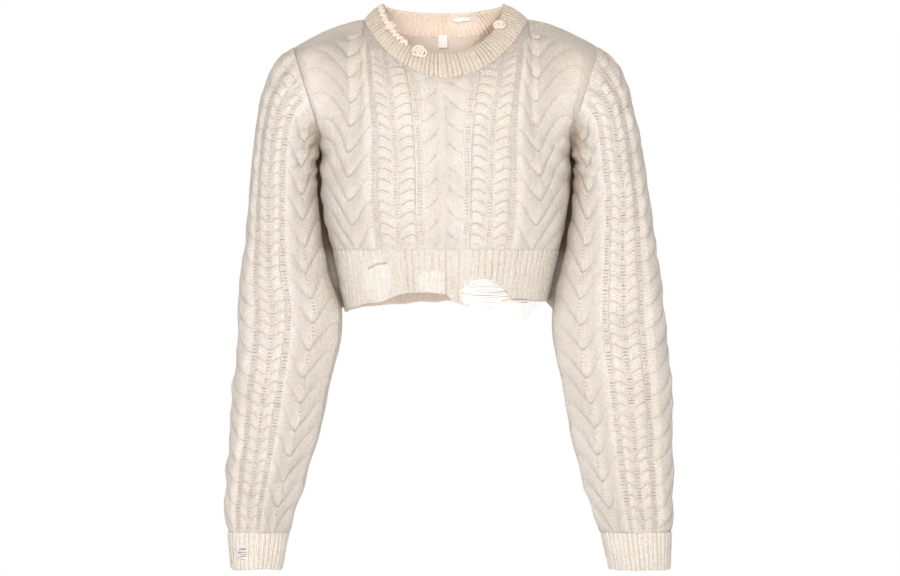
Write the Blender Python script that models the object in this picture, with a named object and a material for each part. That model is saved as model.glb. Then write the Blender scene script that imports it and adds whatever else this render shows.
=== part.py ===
"""Cropped cable-knit sweater, filled out as if worn, hollow, with neck, hem and cuffs open.

X runs across the shoulders, the front faces -Y and Z is up. The origin is on the centre
line at shoulder height, where the wearer holds the garment up. Sizes are in millimetres
and become metres when a mesh is made. Every knitted piece is a wall: its outer points are
raised into cables or ribs, and its inner side is plain.
"""

import math
from collections import namedtuple

import bmesh
import bpy
import numpy as np

MM = 0.001
SEAM = 0.3  # gap left between two pieces at a seam
WALL = 2.6  # plain knit under the cables
RIB_WALL = 2.8  # plain knit under the ribs
SHARP_ANGLE = 50.0  # degrees between two faces above which their edge is drawn sharp
ARC_STEPS = 180  # parts in which a curve's length is added up
COLLECTION = "cropped_cable_sweater"

# Heights of the main lines
Z_UNDERARM = -137.0
Z_HEM_SEAM = -261.0
Z_CUFF_SEAM = -592.0
Z_CUFF_END = -636.0

# Body, a row for each section: height, half width, depth to the front and to the back
Section = namedtuple("Section", "z half_width front back")
BODY = (
    Section(-340.0, 117.5, 91.0, 84.0),
    Section(-307.0, 121.0, 94.0, 85.0),
    Section(-272.0, 129.5, 99.0, 86.0),
    Section(-237.0, 137.5, 105.0, 89.0),
    Section(-186.0, 145.0, 109.0, 94.0),
    Section(-137.0, 144.5, 105.0, 98.0),
)

# Neckline seam and the free edge of the neckband: half width at the shoulder, depth and
# height at the middle of the front and of the back, height at the shoulder, roundness
NeckLine = namedtuple("NeckLine", "half_width front back z_side z_front z_back bow_front bow_back")
NECK_SEAM = NeckLine(96.0, 80.0, 64.0, 10.0, -58.0, -6.0, 1.6, 1.2)
NECK_EDGE = NeckLine(70.0, 66.0, 53.0, 29.5, -29.0, 18.0, 1.1, 1.0)
NECK_SHARE = 0.56  # share of the half panel's width that ends at the neckline
NECK_LEAN = 0.3  # how far the neckband's outward side looks up

# Shoulder seam, from the neckline down to the armhole
SHOULDER_END_X = 180.0
SHOULDER_DROP = 34.0
SHOULDER_BOW = 1.5

# Sleeves, a row for each ring over the cables: the outer point, the inner point, the
# middle's shift forwards and half the depth
Ring = namedtuple("Ring", "x_out z_out x_in z_in forward half_depth")
ARMHOLE = Ring(180.0, -24.0, 144.5, -137.0, 0.0, 62.0)
SLEEVE_CAP = (
    Ring(201.0, -44.0, 149.5, -141.0, 0.0, 62.5),
    Ring(213.5, -70.0, 152.5, -147.0, 0.0, 62.0),
    Ring(220.5, -100.0, 154.5, -157.0, 0.5, 60.5),
)
RIGHT_SLEEVE = SLEEVE_CAP + (
    Ring(225.0, -137.0, 155.0, -172.0, 1.5, 58.5),
    Ring(229.5, -190.0, 153.0, -199.0, 3.5, 56.0),
    Ring(235.5, -245.0, 147.0, -245.0, 6.0, 53.0),
    Ring(241.0, -290.0, 138.0, -290.0, 8.0, 51.5),
    Ring(243.5, -325.0, 125.5, -325.0, 9.5, 51.0),
    Ring(245.5, -365.0, 126.0, -365.0, 11.0, 49.5),
    Ring(249.5, -420.0, 138.0, -420.0, 13.5, 47.0),
    Ring(253.5, -475.0, 150.0, -475.0, 16.0, 44.0),
    Ring(257.0, -530.0, 166.0, -530.0, 18.0, 40.0),
    Ring(258.0, -575.0, 180.0, -575.0, 19.5, 35.5),
    Ring(256.5, Z_CUFF_SEAM, 184.5, Z_CUFF_SEAM, 20.0, 32.5),
)
LEFT_SLEEVE = SLEEVE_CAP + (
    Ring(228.5, -137.0, 153.5, -171.0, 1.5, 58.5),
    Ring(237.5, -190.0, 152.5, -198.0, 3.5, 56.5),
    Ring(245.5, -245.0, 145.5, -245.0, 6.0, 54.0),
    Ring(252.5, -290.0, 134.5, -290.0, 8.0, 53.5),
    Ring(257.0, -325.0, 127.0, -325.0, 9.5, 53.5),
    Ring(260.5, -365.0, 126.5, -365.0, 11.0, 53.0),
    Ring(264.0, -420.0, 137.5, -420.0, 13.5, 51.0),
    Ring(266.0, -475.0, 147.5, -475.0, 16.0, 48.0),
    Ring(266.5, -530.0, 160.0, -530.0, 18.0, 44.0),
    Ring(266.5, -575.0, 175.0, -575.0, 19.5, 39.0),
    Ring(265.0, Z_CUFF_SEAM, 182.0, Z_CUFF_SEAM, 20.0, 36.0),
)
RIGHT_CUFF_END = Ring(252.5, Z_CUFF_END, 193.0, Z_CUFF_END, 20.0, 27.5)
LEFT_CUFF_END = Ring(263.5, Z_CUFF_END, 192.0, Z_CUFF_END, 20.0, 31.0)
SLEEVE_RISE = 3.0  # how far the cables stand out of a sleeve's plain wall, on average

# Cables, a row for each band from the middle line outwards: width, steps across it, how far
# it stands out, length of one crossing, crossings climbed across it and its strands' course
Band = namedtuple("Band", "width steps rise period climb course")
BODY_BANDS = (
    Band(23.0, 3, 5.4, 25.0, 0.8, "falls"),
    Band(27.0, 3, 4.2, 16.0, 0.35, "arches"),
    Band(30.0, 3, 4.2, 16.0, 0.35, "arches"),
    Band(53.0, 4, 6.2, 27.0, 1.3, "dips"),
    Band(52.0, 3, 6.2, 27.0, 1.3, "rises"),
    Band(12.0, 1, 0.0, 27.0, 0.0, "arches"),
)
SLEEVE_BANDS = (
    Band(34.0, 3, 5.2, 22.0, 0.9, "falls"),
    Band(22.5, 2, 3.6, 16.0, 0.35, "arches"),
    Band(17.0, 2, 3.4, 16.0, 0.35, "arches"),
    Band(26.0, 2, 5.0, 32.0, 1.1, "dips"),
    Band(24.0, 2, 5.0, 32.0, 1.1, "rises"),
)
GUSSET_STEPS = 2  # plain stitch between the cables and the underarm seam
GUSSET_LEAST = 5.0
TAPER = 14.0  # cables flatten over this length towards a seam
TAPER_START = 3.0
TAPER_LEAST = 0.25
STRAND_LEAST = 0.25  # height of the furrow between two strands, as a share of a strand's
STRAND_ROUNDNESS = 0.8
SWELL_ROUNDNESS = 0.6
STRAND_TURN = 2.0  # radians of a sine wave that a strand of a V cable follows

BODY_ROWS_BELOW = 18
BODY_ROWS_ABOVE = 18
SLEEVE_ROWS = 54
UPPER_BULGE = 6.0  # fullness of the upper chest and back
BULGE_LEAN = 0.6  # how far the fullness looks up
CHEST_BOW = 1.7  # how late the middle line leans in towards the neck
SIDE_LEAN = 1 / 400.0  # how fast a panel turns sideways, by distance from the middle
EASING = 10  # passes that round the panel where its lower and upper parts meet
SEAM_REACH = 4.0  # the side seam's gap fades out over this depth

# Spacing of the plain inner side's rows and columns, in steps of the outer side
PANEL_INNER_ROWS = 4
PANEL_INNER_COLUMNS = 3
SLEEVE_INNER_ROWS = 4
SLEEVE_INNER_COLUMNS = 2
RIB_INNER_COLUMNS = 6
NECK_INNER_COLUMNS = 4
BEYOND_CABLES = 1000.0  # a place across the knit that no band reaches

# Ribs: pitch, how far a rib stands out
Rib = namedtuple("Rib", "pitch rise")
HEM_RIB = Rib(8.0, 2.4)
NECK_RIB = Rib(5.6, 1.7)
CUFF_RIB = Rib(6.2, 2.0)
BAND_BULGE = 2.0

# Lower edge of the hem ribs: angle round the body from the middle, height
EdgePoint = namedtuple("EdgePoint", "angle z")
FRONT_HEM_EDGE = (
    EdgePoint(-90, -333.0),
    EdgePoint(-62, -325.0),
    EdgePoint(-36, -317.5),
    EdgePoint(0, -316.5),
    EdgePoint(35, -318.0),
    EdgePoint(90, -321.0),
)
BACK_HEM_EDGE = (
    EdgePoint(-90, -333.0),
    EdgePoint(-45, -327.0),
    EdgePoint(0, -325.0),
    EdgePoint(45, -324.0),
    EdgePoint(90, -321.0),
)

# Tears cut through the ribs: middle, half sizes and turn about Y
Tear = namedtuple("Tear", "x y z half_x half_y half_z turn")
HEM_TEAR = Tear(44.0, -86.0, -313.0, 25.0, 30.0, 16.0, 8.0)
NECK_TEAR = Tear(19.0, 56.0, 11.5, 12.5, 16.0, 3.6, 0.0)
CUFF_TEAR = Tear(-238.5, -44.0, -616.0, 5.5, 16.0, 8.5, 12.0)
TEAR_SEGMENTS = 12
TEAR_RINGS = 6
TEAR_RAGGED = 0.12  # how uneven a tear's edge is, and its waves across and up
TEAR_WAVES = (7.0, 5.0)

# Loose yarn: loops hanging from a short strip, a row for each loop
Loop = namedtuple("Loop", "start end drop forward")
YARN = 2.6
LOOP_YARN = 0.93  # thickness of a loop, as a share of its strip's
YARN_POINTS = 9
YARN_REST = 0.1  # how far a strip hangs below the edge, beyond the seam gap
HEM_STRIP = (22.0, 108.0)
HEM_LOOPS = (
    Loop(24.0, 62.0, 17.0, 1.0),
    Loop(34.0, 54.0, 9.0, -2.0),
    Loop(70.0, 106.0, 20.0, 1.5),
    Loop(78.0, 100.0, 12.0, -1.5),
)
CUFF_STRIP = (218.0, 240.0)
CUFF_LOOPS = (Loop(219.5, 238.5, 8.0, 0.5),)

# Rolled yarn ends that lie on the neckband: angle round the neck, share up the band, radius
Roll = namedtuple("Roll", "angle up radius")
NECK_ROLLS = (Roll(-26.0, 0.86, 9.5), Roll(67.0, 0.82, 9.5), Roll(-58.0, 0.9, 7.5))
ROLL_YARN = 2.6
ROLL_POINTS = 12
ROLL_LIFT = 0.7  # clear of the ribs, beyond the seam gap
ROLL_SETTLE = 0.6  # how closely a roll follows the neckband's curve
ROLL_SPREAD = 1.0  # degrees each side of a roll between which its normal is taken

LABEL_WIDTH = 11.0
LABEL_HEIGHT = 14.0
LABEL_THICK = 0.8
LABEL_SHIFT = -2.0
LABEL_DROP = 1.5  # below the top of the wall that it is sewn to
LABEL_LIFT = 0.35  # clear of that wall, beyond the seam gap

CREAM = (0.80, 0.71, 0.60, 1.0)
PALE_YARN = (0.88, 0.83, 0.76, 1.0)
LABEL_WHITE = (0.86, 0.85, 0.83, 1.0)


def clear_scene():
    for obj in list(bpy.data.objects):
        bpy.data.objects.remove(obj, do_unlink=True)


def new_collection(name):
    collection = bpy.data.collections.new(name)
    bpy.context.scene.collection.children.link(collection)
    return collection


def fabric(name, colour, roughness):
    material = bpy.data.materials.new(name)
    material.use_nodes = True
    shader = material.node_tree.nodes["Principled BSDF"]
    shader.inputs["Base Color"].default_value = colour
    shader.inputs["Roughness"].default_value = roughness
    shader.inputs["Metallic"].default_value = 0.0
    return material


def unit(vectors):
    return vectors / np.linalg.norm(vectors, axis=-1, keepdims=True)


def through(places, values, wanted):
    """A smooth curve through the values, as a Catmull-Rom spline over uneven places."""
    places = np.asarray(places, float)
    values = np.asarray(values, float)
    slopes = np.gradient(values, places, axis=0)
    k = np.clip(np.searchsorted(places, wanted, side="right") - 1, 0, len(places) - 2)
    span = (places[k + 1] - places[k])[:, None]
    t = ((wanted - places[k]) / span[:, 0])[:, None]
    start = (1 + 2 * t) * (1 - t) ** 2 * values[k] + t * (1 - t) ** 2 * slopes[k] * span
    end = t * t * (3 - 2 * t) * values[k + 1] + t * t * (t - 1) * slopes[k + 1] * span
    return start + end


def ellipse_angles(half_a, half_b, shares, turn):
    """Angles, up to turn, at which an ellipse's length reaches the shares; 0 is on half_a."""
    angles = np.linspace(0.0, turn, ARC_STEPS + 1)
    steps = np.hypot(half_a * np.diff(np.cos(angles)), half_b * np.diff(np.sin(angles)))
    length = np.concatenate([[0.0], np.cumsum(steps)])
    return np.interp(np.asarray(shares) * length[-1], length, angles)


def body_section(z):
    """Half width and the depths to front and back at one height."""
    rows = [(s.half_width, s.front, s.back) for s in BODY]
    return through([s.z for s in BODY], rows, np.array([z]))[0]


def neck_points(line, angles, side):
    """Points of a neckline at angles from the middle; side is -1 in front and 1 behind."""
    across = np.sin(angles)
    along = np.maximum(np.cos(angles), 0.0)
    depth, z_middle, bow = (
        (line.front, line.z_front, line.bow_front)
        if side < 0
        else (line.back, line.z_back, line.bow_back)
    )
    height = line.z_side + (z_middle - line.z_side) * along**bow
    return np.stack([line.half_width * across, side * depth * along, height], axis=-1)


def band_layout(bands):
    """Places of the grid lines across the bands, from the middle line outwards."""
    places = [0.0]
    for band in bands:
        start = places[-1]
        places += [start + band.width * (k + 1) / band.steps for k in range(band.steps)]
    return np.array(places)


def cable_relief(bands, across, along):
    """Height of the cables at places across and along the knit."""
    height = np.zeros(np.broadcast(across, along).shape)
    start = 0.0
    for band in bands:
        p = np.clip((across - start) / band.width, 0.0, 1.0)
        course = {
            "falls": -p,
            "arches": np.sin(math.pi * p),
            "dips": np.sin(STRAND_TURN * (1.0 - p)),
            "rises": np.sin(STRAND_TURN * p),
        }[band.course]
        strand = np.abs(np.sin(math.pi * (along / band.period - band.climb * course)))
        swell = np.sin(math.pi * p) ** SWELL_ROUNDNESS
        stand = STRAND_LEAST + (1.0 - STRAND_LEAST) * strand**STRAND_ROUNDNESS
        inside = (across >= start) & (across <= start + band.width)
        height = np.where(inside, band.rise * swell * stand, height)
        start += band.width
    return height


def cable_taper(to_seam):
    """Share of their full height that cables have at a distance from the nearest seam."""
    return np.clip((to_seam + TAPER_START) / TAPER, TAPER_LEAST, 1.0)


def run_lengths(points):
    """Length along each column of a grid, from its first row."""
    steps = np.linalg.norm(np.diff(points, axis=0), axis=-1)
    return np.concatenate([np.zeros((1, points.shape[1])), np.cumsum(steps, axis=0)])


def grid_normals(points, outward):
    """Unit normals of a grid, turned to agree with the outward hints."""
    down = np.gradient(points, axis=0)
    over = np.gradient(points, axis=1)
    normals = unit(np.cross(over, down))
    flip = np.sign(np.sum(normals * outward, axis=-1, keepdims=True))
    return normals * np.where(flip == 0, 1.0, flip)


def spread(count, step):
    """Indices from 0 to count, about step apart, with both ends."""
    parts = max(1, round(count / step))
    return sorted({round(count * k / parts) for k in range(parts + 1)})


def wall_mesh(name, outer, inner, rows, columns, closed=False, fine_top=False):
    """One closed wall: a fine outer grid over a coarse inner one, joined round the edges.

    rows and columns are the indices that the inner side keeps. closed joins the last column
    to the first, and fine_top keeps every column along the inner side's last row.
    """
    mesh = bmesh.new()
    row_count, column_count = outer.shape[:2]
    made = {}

    def vertex(side, row, column):
        key = (side, row, column % column_count if closed else column)
        if key not in made:
            source = outer if side else inner
            made[key] = mesh.verts.new([float(v) * MM for v in source[key[1], key[2]]])
        return made[key]

    last_row = row_count - 1
    spans = list(zip(columns[:-1], columns[1:]))
    if closed:
        spans.append((columns[-1], column_count))
    for row in range(last_row):
        for column in range(column_count if closed else column_count - 1):
            corners = ((row, column), (row, column + 1), (row + 1, column + 1), (row + 1, column))
            mesh.faces.new([vertex(1, r, c) for r, c in corners])
    for low, high in zip(rows[:-1], rows[1:]):
        for left, right in spans:
            top = range(right, left - 1, -1) if fine_top and high == last_row else (right, left)
            loop = [(low, left), (low, right)] + [(high, column) for column in top]
            mesh.faces.new([vertex(0, r, c) for r, c in reversed(loop)])
    for left, right in spans:
        bottom = [vertex(1, 0, c) for c in range(left, right + 1)]
        mesh.faces.new([vertex(0, 0, left), vertex(0, 0, right)] + bottom[::-1])
        if fine_top:
            for column in range(left, right):
                pair = (column, column + 1)
                over = [vertex(1, last_row, c) for c in pair]
                under = [vertex(0, last_row, c) for c in reversed(pair)]
                mesh.faces.new(over + under)
        else:
            over = [vertex(1, last_row, c) for c in range(left, right + 1)]
            mesh.faces.new(over + [vertex(0, last_row, right), vertex(0, last_row, left)])
    if not closed:
        for column in (0, column_count - 1):
            for low, high in zip(rows[:-1], rows[1:]):
                edge = [vertex(1, r, column) for r in range(low, high + 1)]
                mesh.faces.new(edge + [vertex(0, high, column), vertex(0, low, column)])
    bmesh.ops.triangulate(mesh, faces=mesh.faces[:])
    bmesh.ops.recalc_face_normals(mesh, faces=mesh.faces[:])
    data = bpy.data.meshes.new(name)
    mesh.to_mesh(data)
    mesh.free()
    return data


def add_object(name, data, material, collection):
    obj = bpy.data.objects.new(name, data)
    collection.objects.link(obj)
    data.materials.clear()
    data.materials.append(material)
    data.shade_smooth()
    data.set_sharp_from_angle(angle=math.radians(SHARP_ANGLE))
    return obj


def armhole_points(angles, ring=ARMHOLE):
    """Points of a ring on the right side of X, from its outer point at angle 0 round the
    front at -90 degrees to its inner point at 180."""
    middle = np.array([(ring.x_out + ring.x_in) / 2, -ring.forward, (ring.z_out + ring.z_in) / 2])
    half = np.array([(ring.x_out - ring.x_in) / 2, 0.0, (ring.z_out - ring.z_in) / 2])
    depth = np.array([0.0, ring.half_depth, 0.0])
    return middle + np.cos(angles)[:, None] * half + np.sin(angles)[:, None] * depth


def armhole_normals(angles, ring=ARMHOLE):
    """Outward normals of the ring, in its own plane."""
    half = np.array([(ring.x_out - ring.x_in) / 2, 0.0, (ring.z_out - ring.z_in) / 2])
    length = np.linalg.norm(half)
    depth = np.array([0.0, 1.0 / ring.half_depth, 0.0])
    return unit(np.cos(angles)[:, None] * half / length**2 + np.sin(angles)[:, None] * depth)


def armhole_side():
    """Direction square to the armhole's plane, away from the body."""
    run = np.array([ARMHOLE.x_out - ARMHOLE.x_in, 0.0, ARMHOLE.z_out - ARMHOLE.z_in])
    return unit(np.array([run[2], 0.0, -run[0]]))


def neck_seam_normals(angles, side):
    """Normals that the neckband and the panels share along the neckline."""
    seam = neck_points(NECK_SEAM, angles, side)
    edge = neck_points(NECK_EDGE, angles, side)
    run = np.gradient(seam, axis=0)
    normals = unit(np.cross(run, edge - seam))
    flip = np.sign(np.sum(normals * [0.0, side, NECK_LEAN], axis=-1, keepdims=True))
    return normals * np.where(flip == 0, 1.0, flip)


def half_panel(side):
    """Base points and edge normals of the half of a panel at X >= 0, without its cables."""
    places = band_layout(BODY_BANDS)
    shares = places / places[-1]
    rows = []
    for z in np.linspace(Z_HEM_SEAM + SEAM / 2, Z_UNDERARM, BODY_ROWS_BELOW + 1):
        half_width, front, back = body_section(z)
        depth = front if side < 0 else back
        angles = math.pi / 2 - ellipse_angles(depth, half_width, shares, math.pi / 2)
        row = [half_width * np.cos(angles), side * depth * np.sin(angles), np.full(len(shares), z)]
        rows.append(np.stack(row, axis=-1))
    base = rows[-1]
    # The upper part is spanned between the underarm row, the middle line, the armhole and
    # the line of neckline and shoulder seam.
    up = np.linspace(0.0, 1.0, BODY_ROWS_ABOVE + 1)
    armhole = armhole_points(side * math.pi * (1.0 - up))
    neck = shares <= NECK_SHARE + 1e-6
    top = np.zeros_like(base)
    top[neck] = neck_points(NECK_SEAM, math.pi / 2 * shares[neck] / shares[neck][-1], side)
    down = (shares[~neck] - shares[neck][-1]) / (1.0 - shares[neck][-1])
    shoulder_x = NECK_SEAM.half_width + (SHOULDER_END_X - NECK_SEAM.half_width) * down
    top[~neck, 0] = shoulder_x
    top[~neck, 2] = NECK_SEAM.z_side - SHOULDER_DROP * down**SHOULDER_BOW
    middle = base[0] + (top[0] - base[0]) * np.stack([up, up**CHEST_BOW, up], axis=-1)
    u = shares[None, :, None]
    w = up[:, None, None]
    corners = (1 - u) * ((1 - w) * base[0] + w * top[0]) + u * ((1 - w) * base[-1] + w * top[-1])
    sheet = (1 - u) * middle[:, None] + u * armhole[:, None] + (1 - w) * base + w * top - corners
    bulge = UPPER_BULGE * np.sin(math.pi * u) * np.sin(math.pi * w)
    sheet = sheet + bulge * unit(np.array([0.0, side, BULGE_LEAN]))
    points = np.concatenate([np.array(rows[:-1]), sheet])
    for _ in range(EASING):
        eased = (points[:-2] + 2 * points[1:-1] + points[2:]) / 4
        points[1:-1, :-1] = eased[:, :-1]
    neck_normals = neck_seam_normals(math.pi / 2 * shares[neck] / shares[neck][-1], side)
    return points, shares, neck, neck_normals, up


def panel_normals(points, side, neck, neck_normals, up):
    """Normals of a half panel, with the ones on its seams lying in the seams' planes."""
    lean = np.array([1.0, 0.0, BULGE_LEAN]) * SIDE_LEAN
    hint = np.array([0.0, side, 0.0]) + lean * points[..., :1]
    normals = grid_normals(points, hint)
    normals[:, 0, 0] = 0.0  # the middle line
    normals[0, :, 2] = 0.0  # the hem seam
    normals[: BODY_ROWS_BELOW + 1, -1] = [1.0, 0.0, 0.0]  # the side seam
    normals[BODY_ROWS_BELOW:, -1] = armhole_normals(side * math.pi * (1.0 - up))
    normals[-1, : len(neck_normals)] = neck_normals
    first = neck_normals[-1] * [1.0, 0.0, 1.0]
    last = normals[-1, -1] * [1.0, 0.0, 1.0]
    count = int(np.sum(~neck)) + 1
    share = np.linspace(0.0, 1.0, count)[:, None]
    normals[-1, len(neck_normals) - 1 :] = (1 - share) * first + share * last
    return unit(normals)


def panel(name, side, material, collection):
    """The front (side -1) or the back (side 1) of the body."""
    points, shares, neck, neck_normals, up = half_panel(side)
    normals = panel_normals(points, side, neck, neck_normals, up)
    lengths = run_lengths(points)
    from_top = lengths[-1] - lengths
    across = shares * band_layout(BODY_BANDS)[-1]
    taper = cable_taper(np.minimum(lengths, from_top))
    relief = cable_relief(BODY_BANDS, across[None, :], lengths) * taper
    # The pieces part from each other by half a seam along each of the edges.
    to_side_seam = np.abs(points[:, :, 1]) / SEAM_REACH
    points[:, :, 1] += side * SEAM / 2 * np.clip(1.0 - to_side_seam, 0.0, 1.0)
    points[BODY_ROWS_BELOW:, -1] -= armhole_side() * SEAM / 2
    inward = neck_points(NECK_EDGE, math.pi / 2 * shares[neck] / shares[neck][-1], side)
    inward = unit(inward - points[-1, : len(neck_normals)])
    points[-1, : len(neck_normals)] -= inward * SEAM
    points[-1, :, 1] = side * np.maximum(side * points[-1, :, 1], SEAM / 2)
    outer = points + normals * relief[..., None]
    inner = points - normals * WALL
    flip = np.array([-1.0, 1.0, 1.0])
    outer = np.concatenate([(outer * flip)[:, :0:-1], outer], axis=1)
    inner = np.concatenate([(inner * flip)[:, :0:-1], inner], axis=1)
    last_row, last_column = outer.shape[0] - 1, outer.shape[1] - 1
    middle = last_column // 2
    # The inner side has a face across the middle line, which the label is sewn to.
    columns = [c for c in spread(last_column, PANEL_INNER_COLUMNS) if abs(c - middle) > 2]
    columns = sorted(set(columns) | {middle - 1, middle + 1})
    rows = spread(last_row, PANEL_INNER_ROWS)
    data = wall_mesh(name, outer, inner, rows, columns, fine_top=True)
    add_object(name, data, material, collection)
    return inner, rows, columns


def sleeve_rings(rings):
    """The rings of a sleeve, evenly spaced along its outer line."""
    table = np.array([ARMHOLE] + list(rings))
    table[1:, 0] -= SLEEVE_RISE
    steps = np.hypot(np.diff(table[:, 0]), np.diff(table[:, 1]))
    places = np.concatenate([[0.0], np.cumsum(steps)])
    wanted = np.linspace(0.0, places[-1], SLEEVE_ROWS + 1)
    return [Ring(*row) for row in through(places, table, wanted)]


def sleeve_places(ring):
    """Places of the grid lines along half of a ring, and where they lie in the knit."""
    places = band_layout(SLEEVE_BANDS)
    half = math.hypot(ring.x_out - ring.x_in, ring.z_out - ring.z_in) / 2
    angles = np.linspace(0.0, math.pi, ARC_STEPS + 1)
    steps = np.hypot(half * np.diff(np.cos(angles)), ring.half_depth * np.diff(np.sin(angles)))
    around = float(np.sum(steps))
    cable = places * min(1.0, (around - GUSSET_LEAST) / places[-1])
    gusset = np.linspace(cable[-1], around, GUSSET_STEPS + 1)[1:]
    return np.concatenate([cable, gusset]) / around, half


def sleeve(name, rings, mirror, material, collection):
    """A sleeve, as a tube of rings from the armhole to the cuff; mirror -1 puts it at -X."""
    rings = sleeve_rings(rings)
    base, normals = [], []
    for ring in rings:
        shares, half = sleeve_places(ring)
        angles = ellipse_angles(half, ring.half_depth, shares, math.pi)
        angles = np.concatenate([-angles, angles[-2:0:-1]])
        base.append(armhole_points(angles, ring))
        normals.append(armhole_normals(angles, ring))
    base, ring_normals = np.array(base), np.array(normals)
    wrapped = np.concatenate([base[:, -1:], base, base[:, :1]], axis=1)
    hints = np.concatenate([ring_normals[:, -1:], ring_normals, ring_normals[:, :1]], axis=1)
    normals = grid_normals(wrapped, hints)[:, 1:-1]
    normals[0] = ring_normals[0]
    normals[-1] = ring_normals[-1] * [1.0, 1.0, 0.0]
    normals = unit(normals)
    places = np.concatenate([band_layout(SLEEVE_BANDS), [BEYOND_CABLES] * GUSSET_STEPS])
    across = np.concatenate([places, places[-2:0:-1]])
    lengths = run_lengths(base[::-1])[::-1]
    from_top = lengths[0] - lengths
    taper = cable_taper(np.minimum(lengths, from_top))
    relief = cable_relief(SLEEVE_BANDS, across[None, :], lengths) * taper
    base[0] += armhole_side() * SEAM / 2
    base[-1, :, 2] += SEAM / 2
    flip = np.array([mirror, 1.0, 1.0])
    outer = (base + normals * relief[..., None]) * flip
    inner = (base - normals * WALL) * flip
    rows = spread(len(rings) - 1, SLEEVE_INNER_ROWS)
    columns = list(range(0, outer.shape[1], SLEEVE_INNER_COLUMNS))
    data = wall_mesh(name, outer, inner, rows, columns, closed=True)
    add_object(name, data, material, collection)


def rib_columns(length, pitch):
    """Shares of a ribbed edge's length at which ribs and the furrows between them lie."""
    ribs = round(length / pitch)
    return np.linspace(0.0, 1.0, 2 * ribs + 1)


def ribbed(name, lines, normals, rise, material, collection, inner_step=RIB_INNER_COLUMNS):
    """A ribbed wall over rows of base points; every other column stands out as a rib."""
    base = np.array(lines)
    normals = unit(np.array(normals))
    ribs = np.where(np.arange(base.shape[1]) % 2 == 1, rise, 0.0)
    outer = base + normals * ribs[None, :, None]
    inner = base - normals * RIB_WALL
    columns = spread(base.shape[1] - 1, inner_step)
    rows = list(range(base.shape[0]))
    data = wall_mesh(name, outer, inner, rows, columns)
    return add_object(name, data, material, collection)


def neckband(name, side, material, collection):
    """Half of the neckband, in front (side -1) or behind (side 1)."""
    angles = np.linspace(-math.pi / 2, math.pi / 2, ARC_STEPS // 2 + 1)
    mean = (neck_points(NECK_SEAM, angles, side) + neck_points(NECK_EDGE, angles, side)) / 2
    lengths = run_lengths(mean[:, None])[:, 0]
    shares = rib_columns(lengths[-1], NECK_RIB.pitch)
    angles = np.interp(shares * lengths[-1], lengths, angles)
    seam = neck_points(NECK_SEAM, angles, side)
    edge = neck_points(NECK_EDGE, angles, side)
    normals = neck_seam_normals(angles, side)
    normals[[0, -1], 1] = 0.0
    normals = unit(normals)
    seam = seam + unit(edge - seam) * SEAM / 2
    lines = []
    for up in (0.0, 0.5, 1.0):
        line = seam + (edge - seam) * up + normals * BAND_BULGE * math.sin(math.pi * up)
        line[[0, -1], 1] = side * SEAM / 2
        lines.append(line)
    rise = NECK_RIB.rise
    return ribbed(name, lines, [normals] * 3, rise, material, collection, NECK_INNER_COLUMNS)


def hem(name, side, edge, material, collection):
    """The ribbed hem of the front (side -1) or the back (side 1)."""
    half_width, front, back = body_section(Z_HEM_SEAM)
    depth = front if side < 0 else back
    around = math.pi * math.sqrt((half_width**2 + depth**2) / 2)
    shares = rib_columns(around, HEM_RIB.pitch)
    ends = np.interp(shares * 180.0 - 90.0, [p.angle for p in edge], [p.z for p in edge])
    top = Z_HEM_SEAM - SEAM / 2
    lines, normals = [], []
    for down in (0.0, 1.0):
        heights = top + (ends - top) * down
        half_width, front, back = np.array([body_section(z) for z in heights]).T
        depth = front if side < 0 else back
        mean_width, mean_depth = float(half_width.mean()), float(depth.mean())
        angles = ellipse_angles(mean_width, mean_depth, shares, math.pi)
        x = -half_width * np.cos(angles)
        y = side * depth * np.sin(angles)
        out = np.stack([x / half_width**2, y / depth**2, np.zeros_like(x)], axis=-1)
        out[[0, -1], 1] = 0.0
        y[[0, -1]] = side * SEAM / 2
        lines.append(np.stack([x, y, heights], axis=-1))
        normals.append(out)
    return ribbed(name, lines, normals, HEM_RIB.rise, material, collection)


def cuff(name, side, top, bottom, mirror, material, collection):
    """Half of a cuff, in front (side -1) or behind (side 1)."""
    half = (top.x_out - top.x_in) / 2
    around = math.pi * math.sqrt((half**2 + top.half_depth**2) / 2)
    shares = rib_columns(around, CUFF_RIB.pitch)
    lines, normals = [], []
    for down in (0.0, 1.0):
        row = [a + (b - a) * down for a, b in zip(top, bottom)]
        ring = Ring(*row)
        half = (ring.x_out - ring.x_in) / 2
        angles = side * ellipse_angles(half, ring.half_depth, shares, math.pi)
        line = armhole_points(angles, ring)
        line[:, 2] = ring.z_out - (SEAM / 2 if down == 0.0 else 0.0)
        line[[0, -1], 1] = side * SEAM / 2 - ring.forward
        out = armhole_normals(angles, ring)
        out[[0, -1], 1] = 0.0
        flip = np.array([mirror, 1.0, 1.0])
        lines.append(line * flip)
        normals.append(out * flip)
    return ribbed(name, lines, normals, CUFF_RIB.rise, material, collection)


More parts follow.
